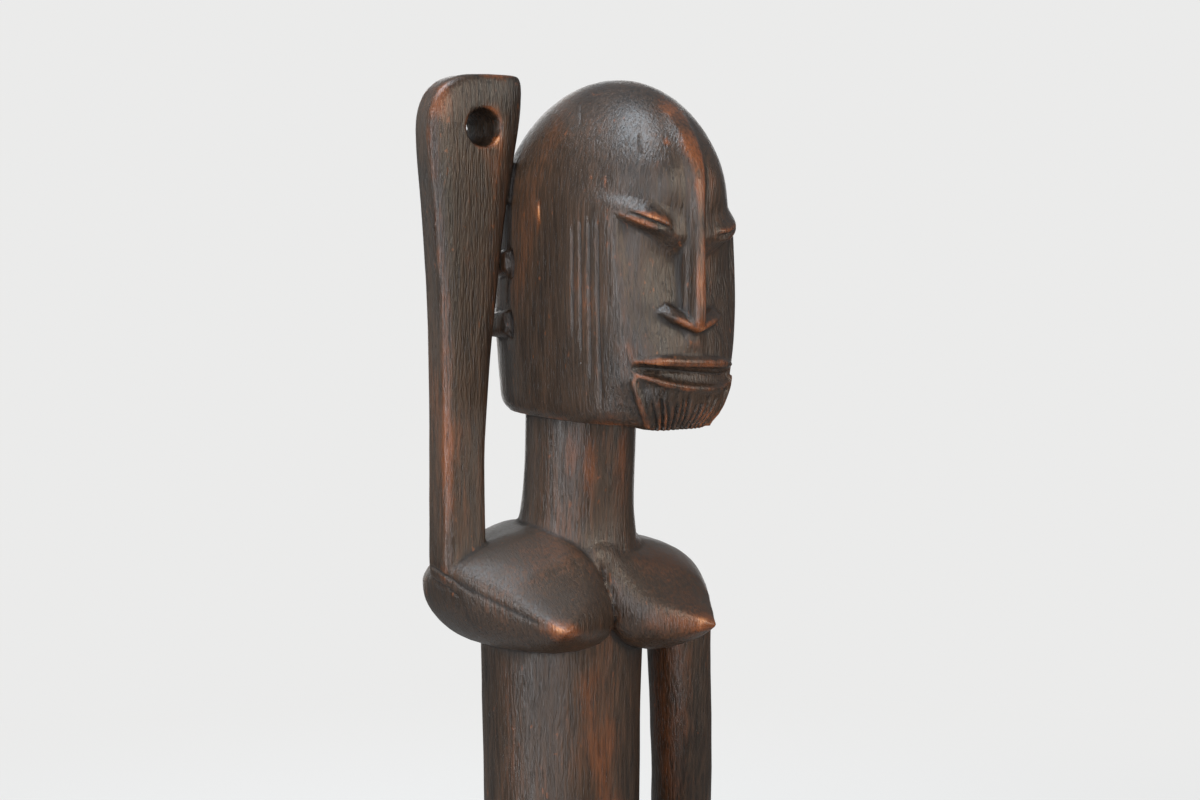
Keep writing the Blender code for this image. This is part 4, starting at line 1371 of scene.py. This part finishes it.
def paint_wood():
    """Blackened satin wood, reddish where it is worn, with fine marks along the grain."""
    finish = settings().wood
    material = wood_material()
    tree = material.node_tree
    tree.nodes.clear()
    t = Tree(tree)
    place = t.add("ShaderNodeTexCoord").outputs["Object"]
    per_fibre = 1 / finish.fibre_width

    def noise(cross, along, detail=2.0, tilt=0.0, forward=None):
        """Noise with a spacing across and along the grain, in fibre widths."""
        scale = (per_fibre / cross, per_fibre / (forward or cross), per_fibre / along)
        turn = (0.0, tilt, 0.0)
        turned = t.made("ShaderNodeMapping", {"Vector": place, "Rotation": turn, "Scale": scale})
        return t.made("ShaderNodeTexNoise", {"Vector": turned, "Scale": 1.0, "Detail": detail})

    def between(value, low, high, from_value=0.0, to_value=1.0):
        ends = {"From Min": low, "From Max": high, "To Min": from_value, "To Max": to_value}
        return t.made("ShaderNodeMapRange", {"Value": value, **ends}, interpolation_type="SMOOTHSTEP")

    def blend(factor, a, b):
        return t.add("ShaderNodeMix", {0: factor, 6: a, 7: b}, data_type="RGBA").outputs[2]

    def swing(value, amount):
        """The value's distance from its middle, times the amount."""
        return t.times(t.minus(value, 0.5), amount)

    kept = ("worn", "sunk", "level", "dusty")
    worn, sunk, level, dusty = [t.add("ShaderNodeAttribute", attribute_name=n).outputs["Fac"] for n in kept]
    colours = (finish.patina, finish.brown, finish.worn, finish.bare, finish.hollow_and_pore_dark, finish.dust)
    patina, brown, red_wood, bare, hollow_and_pore_dark, dust = [tuple(c) for c in colours]
    fibres = noise(1.6, 22.0, 3.0)
    rasp = noise(1.0, 6.0, tilt=math.radians(17))
    level_rasp = noise(1.0, 1.6, forward=5.0)
    rasp = t.made("ShaderNodeMix", {0: between(level, 0.45, 0.8), 2: rasp, 3: level_rasp})
    broad = noise(42.0, 100.0)
    mottle = noise(11.0, 36.0, 3.0)
    pores = between(noise(0.8, 10.0), 0.58, 0.7)

    base = blend(between(broad, 0.3, 0.62), patina, brown)
    streaked = blend(between(fibres, 0.36, 0.66), blend(0.5, base, patina), blend(0.55, base, brown))
    uneven = t.plus(t.times(mottle, 1.5), t.times(fibres, 0.9))
    rubbed = t.plus(t.times(worn, t.minus(uneven, 0.25)), swing(rasp, 0.5))
    patch = between(t.plus(broad, swing(fibres, 0.6)), 0.56, 0.8, 0.0, 0.3)
    red = t.larger(between(rubbed, 0.2, 1.05), patch)
    coloured = blend(red, streaked, red_wood)
    coloured = blend(between(rubbed, 1.0, 1.7), coloured, bare)
    # Darker along the cuts, in the hollows of the surface and in the pores
    dark = t.larger(between(sunk, 0.25, 0.9), t.times(pores, 0.7))
    coloured = blend(dark, coloured, blend(0.75, coloured, hollow_and_pore_dark))
    flecks = t.times(between(noise(2.6, 5.5, 3.0), 0.63, 0.7), between(mottle, 0.5, 0.66))
    coloured = blend(t.times(flecks, 0.75), coloured, red_wood)
    settled = between(dusty, 0.3, 0.9)
    coloured = blend(t.times(settled, between(mottle, 0.35, 0.7, 0.1, 0.45)), coloured, dust)

    gloss = t.plus(finish.roughness, swing(fibres, 0.45))
    gloss = t.plus(gloss, t.times(between(sunk, 0.2, 0.9), 0.3))
    gloss = t.plus(gloss, t.times(settled, 0.28))
    gloss = t.math("SUBTRACT", gloss, t.times(red, 0.07), clamp=True)
    height = t.minus(t.plus(t.times(fibres, 0.45), t.times(rasp, 0.7)), t.times(pores, 0.25))
    depth = t.times(between(level, 0.2, 0.85, 1.0, 0.4), finish.relief)
    marks = t.made("ShaderNodeBump", {"Height": height, "Strength": 1.0, "Distance": depth})
    shader = t.made(
        "ShaderNodeBsdfPrincipled",
        {"Base Color": coloured, "Roughness": gloss, "Normal": marks, "Coat Weight": 0.08,
         "Coat Roughness": 0.28, "IOR": 1.5},
    )
    t.add("ShaderNodeOutputMaterial", {"Surface": shader})
    return material


# The stage


def floor():
    """A wide pale floor that fades into the surroundings with distance."""
    look = settings().stage
    shape = bmesh.new()
    bmesh.ops.create_circle(shape, cap_ends=True, segments=96, radius=6.0)
    mesh = bpy.data.meshes.new("floor")
    shape.to_mesh(mesh)
    shape.free()
    thing = bpy.data.objects.new("floor", mesh)
    bpy.context.scene.collection.objects.link(thing)
    material = bpy.data.materials.new("pale_floor")
    material.use_nodes = True
    material.node_tree.nodes.clear()
    t = Tree(material.node_tree)
    place = t.add("ShaderNodeTexCoord").outputs["Object"]
    away = t.add("ShaderNodeVectorMath", {0: place}, operation="LENGTH").outputs["Value"]
    reach = {"From Min": 0.35, "From Max": 1.3}  # from all floor to all surroundings
    far = t.made("ShaderNodeMapRange", {"Value": away, **reach}, interpolation_type="SMOOTHSTEP")
    seen = t.add("ShaderNodeLightPath").outputs["Is Camera Ray"]
    tints = {6: tuple(look.floor_glow), 7: tuple(look.pale)}
    shade = t.add("ShaderNodeMix", {0: seen, **tints}, data_type="RGBA").outputs[2]
    matt = t.made("ShaderNodeBsdfDiffuse", {"Color": shade})
    strength = t.plus(t.times(seen, 0.85), 0.15)
    glow = t.made("ShaderNodeEmission", {"Color": tuple(look.pale), "Strength": strength})
    mixed = t.made("ShaderNodeMixShader", {0: far, 1: matt, 2: glow})
    t.add("ShaderNodeOutputMaterial", {"Surface": mixed})
    mesh.materials.append(material)


def surroundings():
    """Even pale light, brighter from above, and a plain pale background."""
    look = settings().stage
    world = bpy.data.worlds.new("studio")
    bpy.context.scene.world = world
    world.use_nodes = True
    world.node_tree.nodes.clear()
    t = Tree(world.node_tree)
    way = t.add("ShaderNodeTexCoord").outputs["Generated"]
    height = t.add("ShaderNodeSeparateXYZ", {0: way}).outputs["Z"]
    rise = {"From Min": -0.2, "From Max": 0.9, "To Min": 0.1, "To Max": 0.4}
    strength = t.times(t.made("ShaderNodeMapRange", {"Value": height, **rise}), look.surroundings)
    sky = t.made("ShaderNodeBackground", {"Color": tuple(look.sky), "Strength": strength})
    plain = t.made("ShaderNodeBackground", {"Color": tuple(look.pale), "Strength": 1.0})
    seen = t.add("ShaderNodeLightPath").outputs["Is Camera Ray"]
    mixed = t.made("ShaderNodeMixShader", {0: seen, 1: sky, 2: plain})
    t.add("ShaderNodeOutputWorld", {"Surface": mixed})


LIT_PLACE = (0, 0.014, 0.36)
LIGHTS = (  # name, direction from the lit place, distance, size, brightness, tint
    ("sky_light", (-0.42, -0.05, 0.88), 1.5, (0.95, 0.95), 8.2, (0.84, 0.92, 1.0)),
    ("side_light", (-0.95, -0.18, 0.06), 0.75, (0.14, 0.85), 10.0, (0.94, 0.97, 1.0)),
    ("front_light", (0.1, -0.94, 0.3), 1.3, (0.36, 0.7), 8.5, (1.0, 0.87, 0.7)),
    ("near_light", (-0.56, -0.83, 0.02), 0.8, (0.15, 0.85), 7.5, (0.97, 0.97, 1.0)),
    ("window_light", (0.6, -0.78, 0.15), 1.4, (0.5, 1.0), 3.0, (1.0, 0.93, 0.84)),
    ("wall_light", (0.5, 0.85, 0.1), 1.6, (1.2, 1.3), 2.0, (1.0, 0.99, 0.97)),
    ("rim_light", (-0.55, 0.83, 0.3), 1.6, (0.6, 1.4), 1.0, (1.0, 0.96, 0.9)),
)


def soft_light(name, toward, away, size, brightness, tint):
    """A large soft light; its power is its brightness times its area."""
    toward = Vector(toward).normalized()
    light = bpy.data.lights.new(name, "AREA")
    light.shape = "RECTANGLE"
    light.size, light.size_y = size
    light.energy = brightness * math.pi * size[0] * size[1]
    light.color = tint
    thing = bpy.data.objects.new(name, light)
    thing.location = Vector(LIT_PLACE) + toward * away
    thing.rotation_euler = (-toward).to_track_quat("-Z", "Y").to_euler()
    thing.visible_camera = False
    bpy.context.scene.collection.objects.link(thing)


def camera():
    look = settings().stage
    lens = bpy.data.cameras.new("camera")
    lens.lens = look.lens
    lens.sensor_width = 36
    lens.clip_start = 0.01
    thing = bpy.data.objects.new("camera", lens)
    bpy.context.scene.collection.objects.link(thing)
    right = Vector((math.cos(look.turn), math.sin(look.turn), 0))
    back = Vector((math.sin(look.turn), -math.cos(look.turn), 0))
    axis = Vector((0, settings().figures.set_back, 0))
    thing.location = axis + back * look.distance + right * look.aside + Vector((0, 0, look.height))
    aim = -back * math.cos(look.tilt) - Vector((0, 0, math.sin(look.tilt)))
    thing.rotation_euler = aim.to_track_quat("-Z", "Y").to_euler()
    bpy.context.scene.camera = thing


# Operators


class MakesForms:
    """Makes the forms of one part of the carving, which are joined later."""

    def execute(self, context):
        for make in self.forms:
            make()
        return {"FINISHED"}


class CARVED_OT_base(MakesForms, bpy.types.Operator):
    """Make the low base"""

    bl_idname = "carved.base"
    bl_label = "Base"
    forms = (base_slab,)


class CARVED_OT_horse(MakesForms, bpy.types.Operator):
    """Make the horse with its saddle, bridle and reins"""

    bl_idname = "carved.horse"
    bl_label = "Horse"
    forms = (horse_trunk, horse_ears, horse_mane, horse_tail, horse_legs, saddle, bridle)


class CARVED_OT_rider_body(MakesForms, bpy.types.Operator):
    """Make the rider's trunk, chest, arms, legs and neck"""

    bl_idname = "carved.rider_body"
    bl_label = "Rider's Body"
    forms = (torso, belt, breasts, raised_arm, lowered_arm, legs, rider_neck)


class CARVED_OT_rider_head(MakesForms, bpy.types.Operator):
    """Make the rider's head with its eyes, nose, lips, beard and ears"""

    bl_idname = "carved.rider_head"
    bl_label = "Rider's Head"
    forms = (skull, nose, lips, beard, ears)


class CARVED_OT_join(bpy.types.Operator):
    """Join all forms into one surface, cut the lines and tool marks into it, and give it its wood"""

    bl_idname = "carved.join"
    bl_label = "Join and Cut"

    def execute(self, context):
        marks = settings().marks
        wood = paint_wood()
        mesh = joined_surface()
        if len(mesh.vertices) == 0:
            raise RuntimeError("the joined surface is empty")
        points = all_vectors(mesh.vertices, "co", 3)
        edges = all_vectors(mesh.edges, "vertices", 2, int)
        in_and_out = (0.5, -0.52)  # evens out the grid's steps without shrinking what is thin
        set_points(mesh, soften(points, edges, 8, in_and_out))
        set_attribute(mesh, "tooled", tooling(points))
        piece = bpy.data.objects.new(PIECE, mesh)
        context.scene.collection.objects.link(piece)
        use_tree(
            piece, tool_mark_tree(),
            {"Facet Width": marks.facet_width, "Facet Length": marks.facet_length,
             "Depth": marks.facet_depth, "Seed": marks.seed, "Material": wood},
        )
        take_shape(piece)
        context.view_layer.update()
        spacing = 0.4 * MM
        lines = [(on_surface(piece, line, spacing), width, depth) for line, width, depth in cut_lines()]
        finer_along(piece.data, lines)
        sunk = cut_into(piece.data, lines)
        keep_in_box(piece.data)
        wear(piece.data, sunk)
        thin_out(piece, marks.triangles)
        keep_in_box(piece.data)
        piece.data.name = PIECE
        piece.data.shade_smooth()
        piece.data.materials.clear()
        piece.data.materials.append(wood)
        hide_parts(NODE)
        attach(piece, "root")
        return {"FINISHED"}


def keep_in_box(mesh):
    """Stops the cut surface at the block that the statue is carved from, so that it stands flat."""
    low, high = np.array(CAD_BOX[0]), np.array(CAD_BOX[1])
    set_points(mesh, np.clip(all_vectors(mesh.vertices, "co", 3), low, high))


def thin_out(piece, most):
    """Takes out the points that a flat surface doesn't need."""
    mesh = piece.data
    triangles = int(all_vectors(mesh.polygons, "loop_total", 1, int).sum() - 2 * len(mesh.polygons))
    if triangles <= most:
        return
    fewer = piece.modifiers.new("thin_out", "DECIMATE")
    fewer.ratio = most / triangles
    fewer.use_collapse_triangulate = True
    take_shape(piece)


class CARVED_OT_stage(bpy.types.Operator):
    """Make the pale floor, the soft light and the camera"""

    bl_idname = "carved.stage"
    bl_label = "Stage"

    def execute(self, context):
        floor()
        surroundings()
        for name, toward, away, size, brightness, tint in LIGHTS:
            soft_light(name, toward, away, size, settings().stage.light * brightness, tint)
        camera()
        context.scene.view_settings.view_transform = "Standard"
        return {"FINISHED"}


class CARVED_PT_panel(bpy.types.Panel):
    """Lists the steps and settings of the carving"""

    bl_label = "Carved Rider"
    bl_space_type = "VIEW_3D"
    bl_region_type = "UI"
    bl_category = "Carved Rider"

    def draw(self, context):
        for step in STEPS:
            self.layout.operator(step.bl_idname)
        for group in ("base", "figures", "marks", "wood", "stage"):
            box = self.layout.box()
            box.label(text=group.capitalize())
            values = getattr(settings(), group)
            for name in values.__annotations__:
                box.prop(values, name)


GROUPS = (BaseSizes, FigureSizes, CarvingMarks, WoodFinish, StageLook, CarvedRider)
STEPS = (
    CARVED_OT_base, CARVED_OT_horse, CARVED_OT_rider_body, CARVED_OT_rider_head, CARVED_OT_join,
    CARVED_OT_stage,
)


def register():
    for kind in GROUPS + STEPS + (CARVED_PT_panel,):
        bpy.utils.register_class(kind)
    bpy.types.Scene.carved_rider = PointerProperty(type=CarvedRider)


def unregister():
    del bpy.types.Scene.carved_rider
    for kind in reversed(GROUPS + STEPS + (CARVED_PT_panel,)):
        bpy.utils.unregister_class(kind)


def main():
    register()
    bpy.ops.carved.base()
    bpy.ops.carved.horse()
    bpy.ops.carved.rider_body()
    bpy.ops.carved.rider_head()
    bpy.ops.carved.join()
    bpy.ops.carved.stage()


if __name__ == "__main__":
    main()
